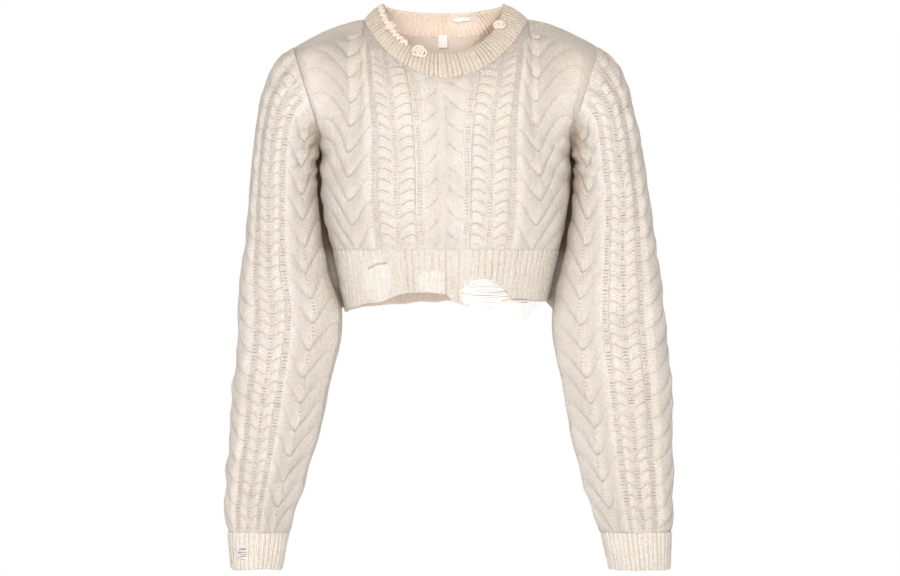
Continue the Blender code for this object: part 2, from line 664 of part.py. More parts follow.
def cut(obj, tear, cutters):
    """Cuts a ragged oval through the wall of an object."""
    mesh = bmesh.new()
    bmesh.ops.create_uvsphere(
        mesh, u_segments=TEAR_SEGMENTS, v_segments=TEAR_RINGS, radius=1.0
    )
    for vertex in mesh.verts:
        wave = TEAR_WAVES[0] * vertex.co.x + TEAR_WAVES[1] * vertex.co.z
        ragged = 1.0 + TEAR_RAGGED * math.sin(wave)
        vertex.co.x *= tear.half_x * MM * ragged
        vertex.co.y *= tear.half_y * MM
        vertex.co.z *= tear.half_z * MM * ragged
    data = bpy.data.meshes.new(obj.name + "_tear")
    mesh.to_mesh(data)
    mesh.free()
    cutter = bpy.data.objects.new(data.name, data)
    cutter.location = (tear.x * MM, tear.y * MM, tear.z * MM)
    cutter.rotation_euler = (0.0, math.radians(tear.turn), 0.0)
    cutter.hide_render = True
    cutter.display_type = "WIRE"
    cutters.objects.link(cutter)
    boolean = obj.modifiers.new("Tear", "BOOLEAN")
    boolean.operation = "DIFFERENCE"
    boolean.solver = "EXACT"
    boolean.object = cutter


def tube(name, points, radius, closed, collection):
    """A four-sided strand of yarn along points, as a mesh."""
    curve = bpy.data.curves.new(name, "CURVE")
    curve.dimensions = "3D"
    curve.bevel_depth = radius * MM
    curve.bevel_resolution = 0
    curve.use_fill_caps = not closed
    spline = curve.splines.new("POLY")
    spline.points.add(len(points) - 1)
    for target, point in zip(spline.points, points):
        target.co = (point[0] * MM, point[1] * MM, point[2] * MM, 1.0)
    spline.use_cyclic_u = closed
    obj = bpy.data.objects.new(name, curve)
    collection.objects.link(obj)
    graph = bpy.context.evaluated_depsgraph_get()
    data = bpy.data.meshes.new_from_object(obj.evaluated_get(graph))
    bpy.data.objects.remove(obj, do_unlink=True)
    mesh = bmesh.new()
    mesh.from_mesh(data)
    bmesh.ops.remove_doubles(mesh, verts=mesh.verts[:], dist=1e-6)
    bmesh.ops.recalc_face_normals(mesh, faces=mesh.faces[:])
    mesh.to_mesh(data)
    mesh.free()
    return data


def fuse(name, meshes, material, collection, cutters):
    """One object from overlapping meshes, joined by Booleans."""
    obj = add_object(name, meshes[0], material, collection)
    for number, data in enumerate(meshes[1:]):
        other = bpy.data.objects.new(f"{name}_strand_{number}", data)
        other.hide_render = True
        other.display_type = "WIRE"
        cutters.objects.link(other)
        boolean = obj.modifiers.new(f"Strand {number}", "BOOLEAN")
        boolean.operation = "UNION"
        boolean.solver = "EXACT"
        boolean.object = other
    return obj


def loose_loops(name, strip, loops, line, material, collection, cutters):
    """Yarn loops that hang from a strip under an edge; line gives the edge at an X."""
    run = np.linspace(strip[0], strip[1], YARN_POINTS)
    meshes = [tube(name, [line(x) for x in run], YARN / 2, False, collection)]
    for loop in loops:
        points = []
        for t in np.linspace(0.0, 1.0, YARN_POINTS):
            x = loop.start + (loop.end - loop.start) * (0.5 - 0.5 * math.cos(math.pi * t))
            point = line(x) + np.array([0.0, 0.0, -loop.drop * math.sin(math.pi * t)])
            point[1] -= loop.forward * math.sin(math.pi * t)
            points.append(point)
        meshes.append(tube(f"{name}_loop", points, YARN / 2 * LOOP_YARN, False, collection))
    fuse(name, meshes, material, collection, cutters)


def hem_line(x):
    """Where the strip of loose yarn runs, just under the front hem."""
    angle = math.degrees(math.asin(x / BODY[0].half_width))
    z = np.interp(angle, [p.angle for p in FRONT_HEM_EDGE], [p.z for p in FRONT_HEM_EDGE])
    half_width, front, _ = body_section(z)
    y = -front * math.sqrt(1.0 - (x / half_width) ** 2)
    return np.array([x, y, z - SEAM - YARN / 2 - YARN_REST])


def cuff_line(x):
    """Where the strip of loose yarn runs, just under the left cuff's front."""
    ring = LEFT_CUFF_END
    half = (ring.x_out - ring.x_in) / 2
    share = (x - (ring.x_out + ring.x_in) / 2) / half
    y = -ring.forward - ring.half_depth * math.sqrt(1.0 - share**2)
    return np.array([x, y, ring.z_out - SEAM - YARN / 2 - YARN_REST])


def neck_roll(name, roll, material, collection):
    """A rolled yarn end, as a small ring that lies on the neckband."""
    angle = np.radians(roll.angle + ROLL_SPREAD * np.array([-1.0, 0.0, 1.0]))
    seam = neck_points(NECK_SEAM, angle, -1)[1]
    edge = neck_points(NECK_EDGE, angle, -1)[1]
    normal = neck_seam_normals(angle, -1)[1]
    rise = NECK_RIB.rise + BAND_BULGE * math.sin(math.pi * roll.up) + SEAM + ROLL_YARN / 2
    middle = seam + (edge - seam) * roll.up + normal * (rise + ROLL_LIFT)
    along = unit(edge - seam)
    over = unit(np.cross(normal, along))
    points = []
    for turn in np.linspace(0.0, 2 * math.pi, ROLL_POINTS + 1)[:-1]:
        ray = math.cos(turn) * over + math.sin(turn) * along
        reach = roll.radius - ROLL_YARN / 2
        drop = reach**2 / (2 * NECK_EDGE.half_width) * math.cos(turn) ** 2
        points.append(middle + ray * reach - normal * drop * ROLL_SETTLE)
    data = tube(name, points, ROLL_YARN / 2, True, collection)
    add_object(name, data, material, collection)


def label(name, inner, rows, columns, material, collection):
    """The neck label: a thin plate on the inside of the back, under its neckband."""
    middle = inner.shape[1] // 2
    left = max(c for c in columns if c < middle)
    right = min(c for c in columns if c > middle)
    low, high = rows[-2], rows[-1]
    corners = [inner[low, left], inner[low, right], inner[high, right], inner[high, left]]
    over = unit(corners[1] - corners[0])
    up = (corners[3] + corners[2] - corners[0] - corners[1]) / 2
    length = float(np.linalg.norm(up))
    up = up / length
    inward = unit(np.cross(up, over))
    inward = inward if inward[1] < 0 else -inward
    middle = sum(corners) / 4 + up * (length / 2 - LABEL_HEIGHT / 2 - LABEL_DROP)
    middle = middle + over * LABEL_SHIFT + inward * (SEAM + LABEL_THICK / 2 + LABEL_LIFT)
    mesh = bmesh.new()
    bmesh.ops.create_cube(mesh, size=1.0)
    for vertex in mesh.verts:
        x, y, z = vertex.co
        place = middle + over * x * LABEL_WIDTH + inward * y * LABEL_THICK + up * z * LABEL_HEIGHT
        vertex.co = [float(v) * MM for v in place]
    bmesh.ops.recalc_face_normals(mesh, faces=mesh.faces[:])
    data = bpy.data.meshes.new(name)
    mesh.to_mesh(data)
    mesh.free()
    add_object(name, data, material, collection)
    data.shade_flat()


def build():
    clear_scene()
    garment = new_collection(COLLECTION)
    cutters = new_collection("cutters")
    knit = fabric("cream_cable_knit", CREAM, 0.9)
    rib = fabric("cream_rib_knit", CREAM, 0.9)
    yarn = fabric("pale_yarn", PALE_YARN, 0.85)
    white = fabric("label_white", LABEL_WHITE, 0.7)

    panel("front", -1, knit, garment)
    back_wall = panel("back", 1, knit, garment)
    sleeve("sleeve_right", RIGHT_SLEEVE, -1, knit, garment)
    sleeve("sleeve_left", LEFT_SLEEVE, 1, knit, garment)

    neckband("neckband_front", -1, rib, garment)
    cut(neckband("neckband_back", 1, rib, garment), NECK_TEAR, cutters)
    cut(hem("hem_front", -1, FRONT_HEM_EDGE, rib, garment), HEM_TEAR, cutters)
    hem("hem_back", 1, BACK_HEM_EDGE, rib, garment)

    right_top, left_top = RIGHT_SLEEVE[-1], LEFT_SLEEVE[-1]
    torn = cuff("cuff_right_front", -1, right_top, RIGHT_CUFF_END, -1, rib, garment)
    cut(torn, CUFF_TEAR, cutters)
    cuff("cuff_right_back", 1, right_top, RIGHT_CUFF_END, -1, rib, garment)
    cuff("cuff_left_front", -1, left_top, LEFT_CUFF_END, 1, rib, garment)
    cuff("cuff_left_back", 1, left_top, LEFT_CUFF_END, 1, rib, garment)

    loose_loops("hem_yarn", HEM_STRIP, HEM_LOOPS, hem_line, yarn, garment, cutters)
    loose_loops("cuff_yarn", CUFF_STRIP, CUFF_LOOPS, cuff_line, yarn, garment, cutters)
    for number, roll in enumerate(NECK_ROLLS, start=1):
        neck_roll(f"neck_roll_{number}", roll, yarn, garment)
    label("neck_label", *back_wall, white, garment)


build()
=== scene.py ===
"""Looks of the cropped cable-knit sweater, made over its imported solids.

Every knitted piece is a thin wall on the same lines as its solid, with the cables, ribs,
creases and stitches of the real knit. Sizes are in millimetres and become metres when a
mesh is made. X runs across the shoulders, the front faces -Y and Z is up.
"""

import math
from collections import namedtuple

import bpy
import numpy as np
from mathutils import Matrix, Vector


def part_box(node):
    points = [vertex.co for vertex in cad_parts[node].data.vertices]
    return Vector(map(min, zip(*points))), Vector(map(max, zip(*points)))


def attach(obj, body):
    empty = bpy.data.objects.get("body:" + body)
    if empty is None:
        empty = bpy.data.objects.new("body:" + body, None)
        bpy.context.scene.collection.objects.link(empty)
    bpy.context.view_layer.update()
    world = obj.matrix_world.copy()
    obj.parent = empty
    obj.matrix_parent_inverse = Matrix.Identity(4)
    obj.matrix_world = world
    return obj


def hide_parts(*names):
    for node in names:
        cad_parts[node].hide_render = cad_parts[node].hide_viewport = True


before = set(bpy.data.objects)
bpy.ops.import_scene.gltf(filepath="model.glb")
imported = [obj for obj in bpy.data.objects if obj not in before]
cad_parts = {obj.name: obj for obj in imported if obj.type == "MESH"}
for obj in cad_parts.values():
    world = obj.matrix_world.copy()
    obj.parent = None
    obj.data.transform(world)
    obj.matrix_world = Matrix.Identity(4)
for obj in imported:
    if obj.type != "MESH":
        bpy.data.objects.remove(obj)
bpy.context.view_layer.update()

MM = 0.001
SEAM = 0.1
WALL = 2.6
RIB_WALL = 2.8

# Heights of the main lines
Z_UNDERARM = -137.0
Z_HEM_SEAM = -261.0
Z_CUFF_SEAM = -592.0
Z_CUFF_END = -636.0

# Body, a row for each section: height, half width, depth to the front and to the back
Section = namedtuple("Section", "z half_width front back")
BODY = (
    Section(-340.0, 117.5, 91.0, 84.0),
    Section(-307.0, 121.0, 94.0, 85.0),
    Section(-272.0, 129.5, 99.0, 86.0),
    Section(-237.0, 137.5, 105.0, 89.0),
    Section(-186.0, 145.0, 109.0, 94.0),
    Section(-137.0, 144.5, 105.0, 98.0),
)

# Neckline seam and free edge of the neckband: half width at the shoulder, depth and height
# at the middle of the front and of the back, height at the shoulder, roundness, and how far
# it leans to the side
NeckLine = namedtuple(
    "NeckLine", "half_width front back z_side z_front z_back bow_front bow_back lean"
)
NECK_SEAM = NeckLine(96.0, 80.0, 64.0, 10.0, -61.0, -6.0, 1.6, 1.2, 0.0)
NECK_EDGE = NeckLine(70.0, 66.0, 53.0, 29.5, -32.5, 21.5, 1.1, 1.0, -3.0)
SHOULDER_END_X = 180.0
SHOULDER_DROP = 34.0
SHOULDER_BOW = 1.5

# Sleeves, a row for each ring: outer point, inner point, shift forwards, half the depth
Ring = namedtuple("Ring", "x_out z_out x_in z_in forward half_depth")
ARMHOLE = Ring(180.0, -24.0, 144.5, -137.0, 0.0, 62.0)
SLEEVE_CAP = (
    Ring(201.0, -44.0, 149.5, -141.0, 0.0, 62.5),
    Ring(213.5, -70.0, 152.5, -147.0, 0.0, 62.0),
    Ring(220.5, -100.0, 154.5, -157.0, 0.5, 60.5),
)
RIGHT_SLEEVE = SLEEVE_CAP + (
    Ring(225.0, -137.0, 155.0, -172.0, 1.5, 58.5),
    Ring(229.5, -190.0, 153.0, -199.0, 3.5, 56.0),
    Ring(235.5, -245.0, 147.0, -245.0, 6.0, 53.0),
    Ring(241.0, -290.0, 138.0, -290.0, 8.0, 51.5),
    Ring(243.5, -325.0, 125.5, -325.0, 9.5, 51.0),
    Ring(245.5, -365.0, 126.0, -365.0, 11.0, 49.5),
    Ring(249.5, -420.0, 138.0, -420.0, 13.5, 47.0),
    Ring(253.5, -475.0, 150.0, -475.0, 16.0, 44.0),
    Ring(257.0, -530.0, 166.0, -530.0, 18.0, 40.0),
    Ring(258.0, -575.0, 180.0, -575.0, 19.5, 35.5),
    Ring(256.5, Z_CUFF_SEAM, 184.5, Z_CUFF_SEAM, 20.0, 32.5),
)
LEFT_SLEEVE = SLEEVE_CAP + (
    Ring(228.5, -137.0, 153.5, -171.0, 1.5, 58.5),
    Ring(237.5, -190.0, 152.5, -198.0, 3.5, 56.5),
    Ring(245.5, -245.0, 145.5, -245.0, 6.0, 54.0),
    Ring(252.5, -290.0, 134.5, -290.0, 8.0, 53.5),
    Ring(257.0, -325.0, 127.0, -325.0, 9.5, 53.5),
    Ring(260.5, -365.0, 126.5, -365.0, 11.0, 53.0),
    Ring(264.0, -420.0, 137.5, -420.0, 13.5, 51.0),
    Ring(266.0, -475.0, 147.5, -475.0, 16.0, 48.0),
    Ring(266.5, -530.0, 160.0, -530.0, 18.0, 44.0),
    Ring(266.5, -575.0, 175.0, -575.0, 19.5, 39.0),
    Ring(265.0, Z_CUFF_SEAM, 182.0, Z_CUFF_SEAM, 20.0, 36.0),
)
RIGHT_CUFF_END = Ring(252.5, Z_CUFF_END, 193.0, Z_CUFF_END, 20.0, 27.5)
LEFT_CUFF_END = Ring(263.5, Z_CUFF_END, 192.0, Z_CUFF_END, 20.0, 31.0)
SLEEVE_RISE = 3.0  # how far the outer points are taken in, to make room for the cables
LEFT_TURN = 6.0  # how far the left sleeve's cables lie round towards the front

# Cables, a row for each band from the middle line outwards: width, how far it stands out,
# length of one crossing, crossings climbed across it, its strands' course, and the stitches
# across one strand. Rungs run up the middle of each ladder, and eyelets between the dips and
# the rises.
Band = namedtuple("Band", "width rise period climb course wales")
BODY_BANDS = (
    Band(22.5, 4.3, 25.4, 0.62, "plait", 6),
    Band(9.5, 0.0, 25.4, 0.0, "ladder", 3),
    Band(19.0, 3.0, 12.7, 0.5, "arches", 3),
    Band(9.0, 0.0, 25.4, 0.0, "ladder", 3),
    Band(19.0, 3.0, 12.7, 0.5, "rises_late", 3),
    Band(8.0, 0.0, 25.4, 0.0, "ladder", 3),
    Band(33.0, 3.9, 29.0, 0.95, "dips", 7),
    Band(68.0, 3.7, 29.0, 1.9, "rises", 7),
    Band(9.0, 0.0, 29.0, 0.0, "plain", 0),
)
SLEEVE_BANDS = (
    Band(37.0, 4.6, 26.0, 0.8, "plait", 6),
    Band(6.0, 0.0, 26.0, 0.0, "ladder", 2),
    Band(13.5, 3.3, 13.5, 0.42, "arches", 3),
    Band(5.8, 0.0, 26.0, 0.0, "ladder", 2),
    Band(12.0, 3.2, 13.5, 0.42, "rises_late", 3),
    Band(5.8, 0.0, 26.0, 0.0, "ladder", 2),
    Band(23.0, 4.5, 31.0, 0.9, "dips", 7),
    Band(41.0, 4.3, 31.0, 1.15, "rises", 7),
)
PLAIN_BANDS = (Band(400.0, 0.0, 26.0, 0.0, "plain", 0),)
LEVEL = 1.6  # how far the knit stands out between its cables
PLAIT_PEAK = 3.5  # where a plait's strands turn, beyond its middle line
PLAIT_REACH = 7.0  # how far they go past it
EYELET_GAP = 5.3  # from one eyelet to the next
LADDER_SHADE = 0.03  # how dark a ladder's plain knit is drawn
GUTTER_INSET = 0.8  # how far a ladder's gutters lie inside its edges
GUTTER_WIDTH = 1.6
RUNG_GAP = 3.7  # from one rung of a ladder to the next
WIDE_LADDER = 7.0
RUNG_LENGTH = 19.0  # five times half a rung's length, on a wide ladder
NARROW_RUNG_LENGTH = 16.0  # the same on a narrow one
MIDDLE_SHIFT = -3.0  # the cables sit a little off the body's middle line
SLEEVE_AROUND = 156.0  # half the sleeve's girth at which its bands have their full widths
NECK_ACROSS = 106.5  # how far across the half panel the neckline reaches
GUSSET_LEAST = 5.0  # least width of plain knit on each side of a sleeve's inner line
CABLE_FADE = 14.0  # how far from a seam the cables reach their full height
SEAM_DIP = 0.25  # how far the knit sinks at a seam
SEAM_DIP_WIDTH = 2.0
WALE = 3.2  # width of one plain stitch
COURSE = 3.0  # height of one plain stitch

# Where a sleeve hangs against the body: its distance, and the depths, heights and reach over
# which it starts and ends
BODY_CLEARANCE = 5.5
CLING_START = (4.0, 22.0)
CLING_END = (38.0, 66.0)
CLING_LOW = (-345.0, -318.0)
CLING_HIGH = (-128.0, -104.0)
CLING_REACH = (26.0, 46.0)

UPPER_BULGE = 6.0
ARMHOLE_FILL = 2.8  # how far the knit rounds off the corner where sleeve and body meet
ARMHOLE_REACH = 24.0
EASING = 10  # passes that round the panel where its parts meet, at the solid's spacing
FINE = 6  # rows of the fine wall for each row of the solid
COARSE = 4  # rows and columns of the fine wall for each of its inside
SOLID_ROWS = 18  # rows of the solid below the underarm, and above it
NECK_COLUMNS = 84
SIDE_COLUMNS = 72
SLEEVE_ROWS = 54
CABLE_COLUMNS = 90
GUSSET_COLUMNS = 22
LEAST_FOLD = -4.0  # the deepest that the inside follows a fold
INNER_FOLDS = 0.9  # the share of each fold that it follows
BEYOND = 99.0  # a distance that is far from every seam
ELLIPSE_STEPS = 720  # steps in which the length of an ellipse is measured
WAVES = 8  # waves in each unevenness
WAVES_REACH = 3.5  # how high they mostly come together
SWELL = 0.16  # how much the relief differs from place to place
SWELL_SIZE = 30.0
WAVE_EASE = 20.0  # how far from a seam the cables wander in full

# Ribs: from one to the next, how far they stand out, wales on each, and space between rows
Rib = namedtuple("Rib", "pitch rise wales spacing")
HEM_RIB = Rib(8.0, 1.7, 2, 1.5)
NECK_RIB = Rib(5.0, 1.4, 1, 1.3)
CUFF_RIB = Rib(6.2, 0.8, 1, 1.4)
PALER = 0.25  # how much paler the let-down yarn is
RIB_SHADE = 0.8  # how dark the furrows between ribs are drawn
BAND_BULGE = 2.0
RIB_CELLS = 8  # columns of a wall for each rib

# Loose yarn: loops hanging from a short strip, and rolled ends on the neckband
Loop = namedtuple("Loop", "start end drop forward")
YARN = 2.6
HEM_STRIP = (22.0, 108.0)
HEM_LOOPS = (
    Loop(22.0, 48.0, 5.0, 1.0),
    Loop(30.0, 66.0, 10.0, 1.5),
    Loop(33.0, 63.0, 7.5, 0.5),
    Loop(40.0, 62.0, 5.0, 2.0),
    Loop(66.0, 109.0, 21.0, 1.5),
    Loop(68.0, 107.0, 18.5, 0.5),
    Loop(70.0, 106.0, 15.5, 2.0),
    Loop(72.0, 104.0, 12.5, 0.0),
    Loop(75.0, 101.0, 9.5, 1.2),
    Loop(78.0, 98.0, 6.0, 2.0),
)
CUFF_STRIP = (218.0, 240.0)
CUFF_LOOPS = (
    Loop(219.0, 239.5, 9.0, 0.5),
    Loop(221.0, 236.0, 6.0, 1.2),
    Loop(224.0, 240.0, 7.5, -0.6),
)
Roll = namedtuple("Roll", "angle up radius")
NECK_ROLLS = (Roll(-22.0, 0.8, 10.5), Roll(62.0, 0.85, 9.5), Roll(-60.0, 0.9, 8.5))
ROLL_YARN = 3.0
LOOSE_THREAD = 1.15  # a single thread of let-down yarn
HEM_THREAD = 1.7
CUFF_THREAD = 1.5
FRILL_THREAD = 1.5
PULLED_THREAD = 1.6
STRIP_THREADS = 3
HEM_THREADS = 42
HEM_SAG = 3.0  # how far the threads across a tear hang down in the middle
CUFF_SAG = 0.4
CUFF_RUNGS = 9
FRILL_LOOPS = 9
FRAY_ANGLES = (-84.0, -36.0)
FRAY_LOOPS = 30
PULLED_STITCHES = 11
PULLED_ANGLES = ((-41.0, -22.0), (11.0, 39.0))
RUFFLE_FOLDS = 10
RUFFLE_YARN = 4.3
RUFFLE_UP = 0.9  # how far up the neckband the ruffle lies
RUFFLE_REACH = 2.4

# Free edges of the hem: height at each angle from the middle, towards the wearer's left
EdgePoint = namedtuple("EdgePoint", "angle z")
FRONT_HEM_EDGE = (
    EdgePoint(-90, -333.5),
    EdgePoint(-62, -327.0),
    EdgePoint(-41, -321.0),
    EdgePoint(-30, -314.5),
    EdgePoint(-24, -311.5),
    EdgePoint(0, -311.5),
    EdgePoint(5, -322.0),
    EdgePoint(13, -326.0),
    EdgePoint(33, -324.0),
    EdgePoint(42, -319.0),
    EdgePoint(90, -321.0),
)
BACK_HEM_EDGE = (
    EdgePoint(-90, -333.5),
    EdgePoint(-45, -325.5),
    EdgePoint(0, -321.5),
    EdgePoint(45, -323.0),
    EdgePoint(90, -321.0),
)

# Tears through the ribs: middle, half sizes and turn about Y
Tear = namedtuple("Tear", "x z half_x half_z turn")
HEM_TEAR = Tear(44.0, -313.0, 25.0, 16.0, 8.0)
NECK_TEAR = Tear(18.0, 14.0, 12.5, 2.7, -3.0)
CUFF_TEAR = Tear(-238.5, -616.0, 5.5, 8.5, 12.0)
HEM_FLOATS = Tear(47.0, -311.0, 29.0, 19.0, 0.0)  # the let-down threads over the hem's tear

# Let-down places of the front hem and of the neckband's back, and the slit above the hem's
# first: its two ends
Patch = namedtuple("Patch", "x z half_x half_z")
HEM_PATCHES = (Patch(-79.0, -297.0, 16.0, 24.0), Patch(-17.0, -298.0, 15.0, 13.0))
NECK_PATCH = Patch(21.0, 13.0, 20.0, 10.0)
HEM_SLIT = ((-90.0, -283.0), (-70.0, -276.5))


def unit(vectors):
    return vectors / np.linalg.norm(vectors, axis=-1, keepdims=True)


def through(places, values, wanted):
    """A smooth curve through the values, as a Catmull-Rom spline over uneven places."""
    places = np.asarray(places, float)
    values = np.asarray(values, float)
    slopes = np.gradient(values, places, axis=0)
    k = np.clip(np.searchsorted(places, wanted, side="right") - 1, 0, len(places) - 2)
    span = (places[k + 1] - places[k])[:, None]
    t = ((wanted - places[k]) / span[:, 0])[:, None]
    start = (1 + 2 * t) * (1 - t) ** 2 * values[k] + t * (1 - t) ** 2 * slopes[k] * span
    end = t * t * (3 - 2 * t) * values[k + 1] + t * t * (t - 1) * slopes[k + 1] * span
    return start + end


def sums(steps):
    """Running sums of steps, from 0."""
    return np.concatenate([[0.0], np.cumsum(steps)])


def ellipse_lengths(half_a, half_b, turn):
    """Angles up to turn round an ellipse, and its length up to each; 0 is on half_a."""
    angles = np.linspace(0.0, turn, ELLIPSE_STEPS + 1)
    steps = np.hypot(half_a * np.diff(np.cos(angles)), half_b * np.diff(np.sin(angles)))
    return angles, sums(steps)


def ellipse_angles(half_a, half_b, shares, turn):
    """Angles, up to turn, at which an ellipse's length reaches the shares."""
    angles, length = ellipse_lengths(half_a, half_b, turn)
    return np.interp(np.asarray(shares) * length[-1], length, angles)


def ramp(value, low, high):
    """0 below low, 1 above high and a smooth rise between them."""
    t = np.clip((value - low) / (high - low), 0.0, 1.0)
    return t * t * (3.0 - 2.0 * t)


def between(value, start, end):
    """Rises from 0 to 1 over the span start, and falls back to 0 over the span end."""
    return ramp(value, *start) * (1.0 - ramp(value, *end))


def rounded(distance, radius):
    """A quarter-round rise over the radius from an edge."""
    return np.sqrt(1.0 - (1.0 - np.clip(distance / radius, 0.0, 1.0)) ** 2)


def unevenness(points, size, seed):
    """Smooth waves about size long, from about -1 to 1, that differ from place to place."""
    pick = np.random.default_rng(seed)
    total = np.zeros(points.shape[:-1])
    for _ in range(WAVES):
        heading = unit(pick.normal(size=3))
        length = size * pick.uniform(0.75, 1.7)
        total += np.sin(2 * math.pi / length * (points @ heading) + pick.uniform(0, 2 * math.pi))
    return total / WAVES_REACH


def body_sections(heights):
    """Half width and the depths to front and back at each height."""
    rows = [(s.half_width, s.front, s.back) for s in BODY]
    return through([s.z for s in BODY], rows, np.asarray(heights)).T


def neck_points(line, angles, side):
    """Points of a neckline at angles from the middle; side is -1 in front and 1 behind."""
    across = np.sin(angles)
    along = np.maximum(np.cos(angles), 0.0)
    depth, z_middle, bow = (
        (line.front, line.z_front, line.bow_front)
        if side < 0
        else (line.back, line.z_back, line.bow_back)
    )
    height = line.z_side + (z_middle - line.z_side) * along**bow
    return np.stack([line.half_width * across + line.lean, side * depth * along, height], axis=-1)


def run_lengths(points):
    """Length along each column of a grid, from its first row."""
    steps = np.linalg.norm(np.diff(points, axis=0), axis=-1)
    return np.concatenate([np.zeros((1, points.shape[1])), np.cumsum(steps, axis=0)])


def grid_normals(points, outward):
    """Unit normals of a grid, turned to agree with the outward hints."""
    down = np.gradient(points, axis=0)
    over = np.gradient(points, axis=1)
    normals = unit(np.cross(over, down))
    flip = np.sign(np.sum(normals * outward, axis=-1, keepdims=True))
    return normals * np.where(flip == 0, 1.0, flip)


def ring_points(angles, ring):
    """Points of a ring where X is above 0, from its outer point at angle 0 round the front
    at -90 degrees to its inner point at 180."""
    middle = np.array([(ring.x_out + ring.x_in) / 2, -ring.forward, (ring.z_out + ring.z_in) / 2])
    depth = np.array([0.0, ring.half_depth, 0.0])
    return middle + np.cos(angles)[:, None] * ring_half(ring) + np.sin(angles)[:, None] * depth


def ring_half(ring):
    """The step from a ring's middle to its outer point."""
    return np.array([(ring.x_out - ring.x_in) / 2, 0.0, (ring.z_out - ring.z_in) / 2])


def ring_normals(angles, ring):
    """Outward normals of the ring, in its own plane."""
    half = ring_half(ring)
    depth = np.array([0.0, 1.0 / ring.half_depth, 0.0])
    length = np.linalg.norm(half)
    return unit(np.cos(angles)[:, None] * half / length**2 + np.sin(angles)[:, None] * depth)


def ring_front(ring, x):
    """Y of a level ring's front at x."""
    share = (x - (ring.x_out + ring.x_in) / 2) / ((ring.x_out - ring.x_in) / 2)
    return -ring.forward - ring.half_depth * math.sqrt(max(1.0 - share**2, 0.0))


def armhole_side():
    """Direction square to the armhole's plane, away from the body."""
    run = np.array([ARMHOLE.x_out - ARMHOLE.x_in, 0.0, ARMHOLE.z_out - ARMHOLE.z_in])
    return unit(np.array([run[2], 0.0, -run[0]]))


def neck_seam_normals(angles, side):
    """Normals that the neckband and the panels share along the neckline."""
    seam = neck_points(NECK_SEAM, angles, side)
    edge = neck_points(NECK_EDGE, angles, side)
    run = np.gradient(seam, axis=0)
    normals = unit(np.cross(run, edge - seam))
    flip = np.sign(np.sum(normals * [0.0, side, 0.3], axis=-1, keepdims=True))
    return normals * np.where(flip == 0, 1.0, flip)


# The knit: where the strands of each cable run, how high they stand, and their stitches


def strand_course(band, p):
    """How far a strand has climbed at a share p of the way across its band."""
    peak = PLAIT_PEAK / band.width
    turn = (peak - p) * band.width / (band.period * band.climb)
    fall = 1.0 - (1.0 - np.clip((p - peak) / (1.0 - peak), 0.0, 1.0)) ** 1.6
    return {
        "plait": lambda: -np.where(p < peak, turn, fall),
        "arches": lambda: np.sin(math.pi * np.clip(p, 0.0, 1.0) ** 0.55),
        "rises_late": lambda: np.sin(math.pi * (1.0 - (1.0 - np.clip(p, 0.0, 1.0)) ** 0.55)),
        "dips": lambda: 0.5 + 0.5 * np.cos(math.pi * np.clip(p, 0.0, 1.0) ** 0.95),
        "rises": lambda: np.sin(1.9 * p),
    }[band.course]()


def band_starts(bands):
    return sums([band.width for band in bands])


def strand_phase(band, p, along, hand):
    """Crossings counted along a strand; a plait's two sides are half a crossing apart."""
    apart = 0.5 * hand if band.course == "plait" else 0.0
    return along / band.period - band.climb * strand_course(band, p) + apart


def strand_shape(band, p, along, hand):
    """How high a strand stands, and how dark the painted shade in the furrow beside it is."""
    phase = strand_phase(band, p, along, hand)
    dome = np.sin(math.pi * (phase - np.floor(phase)) ** 0.8) ** 0.5
    from_start, to_end = p * band.width, (1.0 - p) * band.width
    arch = (
        ramp(from_start, -1.0, 7.0) * ramp(to_end, -1.0, 7.0),
        0.4,
        0.65 * (0.35 + 0.65 * rounded(from_start, 4.0) * rounded(to_end, 4.0)),
    )
    swell, shallow, strength = {
        "plait": (
            rounded(from_start + PLAIT_REACH, 5.0) * ramp(to_end, 0.0, 9.0),
            0.1 + 0.5 * ramp(p, 0.2, 0.9),
            1.0 - 0.6 * ramp(p, 0.15, 0.7),
        ),
        "arches": arch,
        "rises_late": arch,
        "dips": (
            ramp(from_start, -1.0, 9.0),
            0.5 - 0.42 * ramp(p, 0.1, 0.8),
            0.3 + 0.55 * ramp(p, 0.35, 0.9),
        ),
        "rises": (
            ramp(to_end, 0.0, 9.0),
            0.08 + 0.72 * ramp(p, 0.25, 0.8),
            0.85 - 0.5 * ramp(p, 0.08, 0.5),
        ),
    }[band.course]
    part = phase - np.floor(phase)
    line = np.exp(-((band.period * np.minimum(part, 1.0 - part) / 1.25) ** 2))
    height = band.rise * (shallow + (1.0 - shallow) * dome)
    return LEVEL + (height - LEVEL) * swell, line * strength


def cable_relief(bands, across, along, hand):
    """Height of the cables and depth of shade in their furrows, at places in the knit."""
    height = np.zeros(np.broadcast(across, along).shape)
    shade = np.zeros_like(height)
    for band, start in zip(bands, band_starts(bands)):
        inside = (across >= start) & (across <= start + band.width)
        if band.course in ("plain", "ladder"):
            height = np.where(inside, LEVEL, height)
            shade = np.where(inside & (band.course == "ladder"), LADDER_SHADE, shade)
            continue
        p = np.clip((across - start) / band.width, 0.0, 1.0)
        if band.course == "plait":
            inside = across <= band.width
            p = across / band.width
        tall, furrow = strand_shape(band, p, along, hand)
        if band.course == "plait":
            other, other_furrow = strand_shape(band, -p, along, 1 - hand)
            other = np.where(across > PLAIT_REACH, 0.0, other)
            furrow = np.where(other > tall, other_furrow, furrow)
            crossed = np.exp(-(((tall - other) / (0.12 * band.rise)) ** 2))
            crossed = crossed * (across < PLAIT_REACH) * (tall < 0.6 * band.rise)
            furrow = np.maximum(furrow, 0.6 * crossed)
            tall = np.maximum(tall, other)
        height = np.where(inside, tall, height)
        shade = np.where(inside, furrow, shade)
    return height, shade


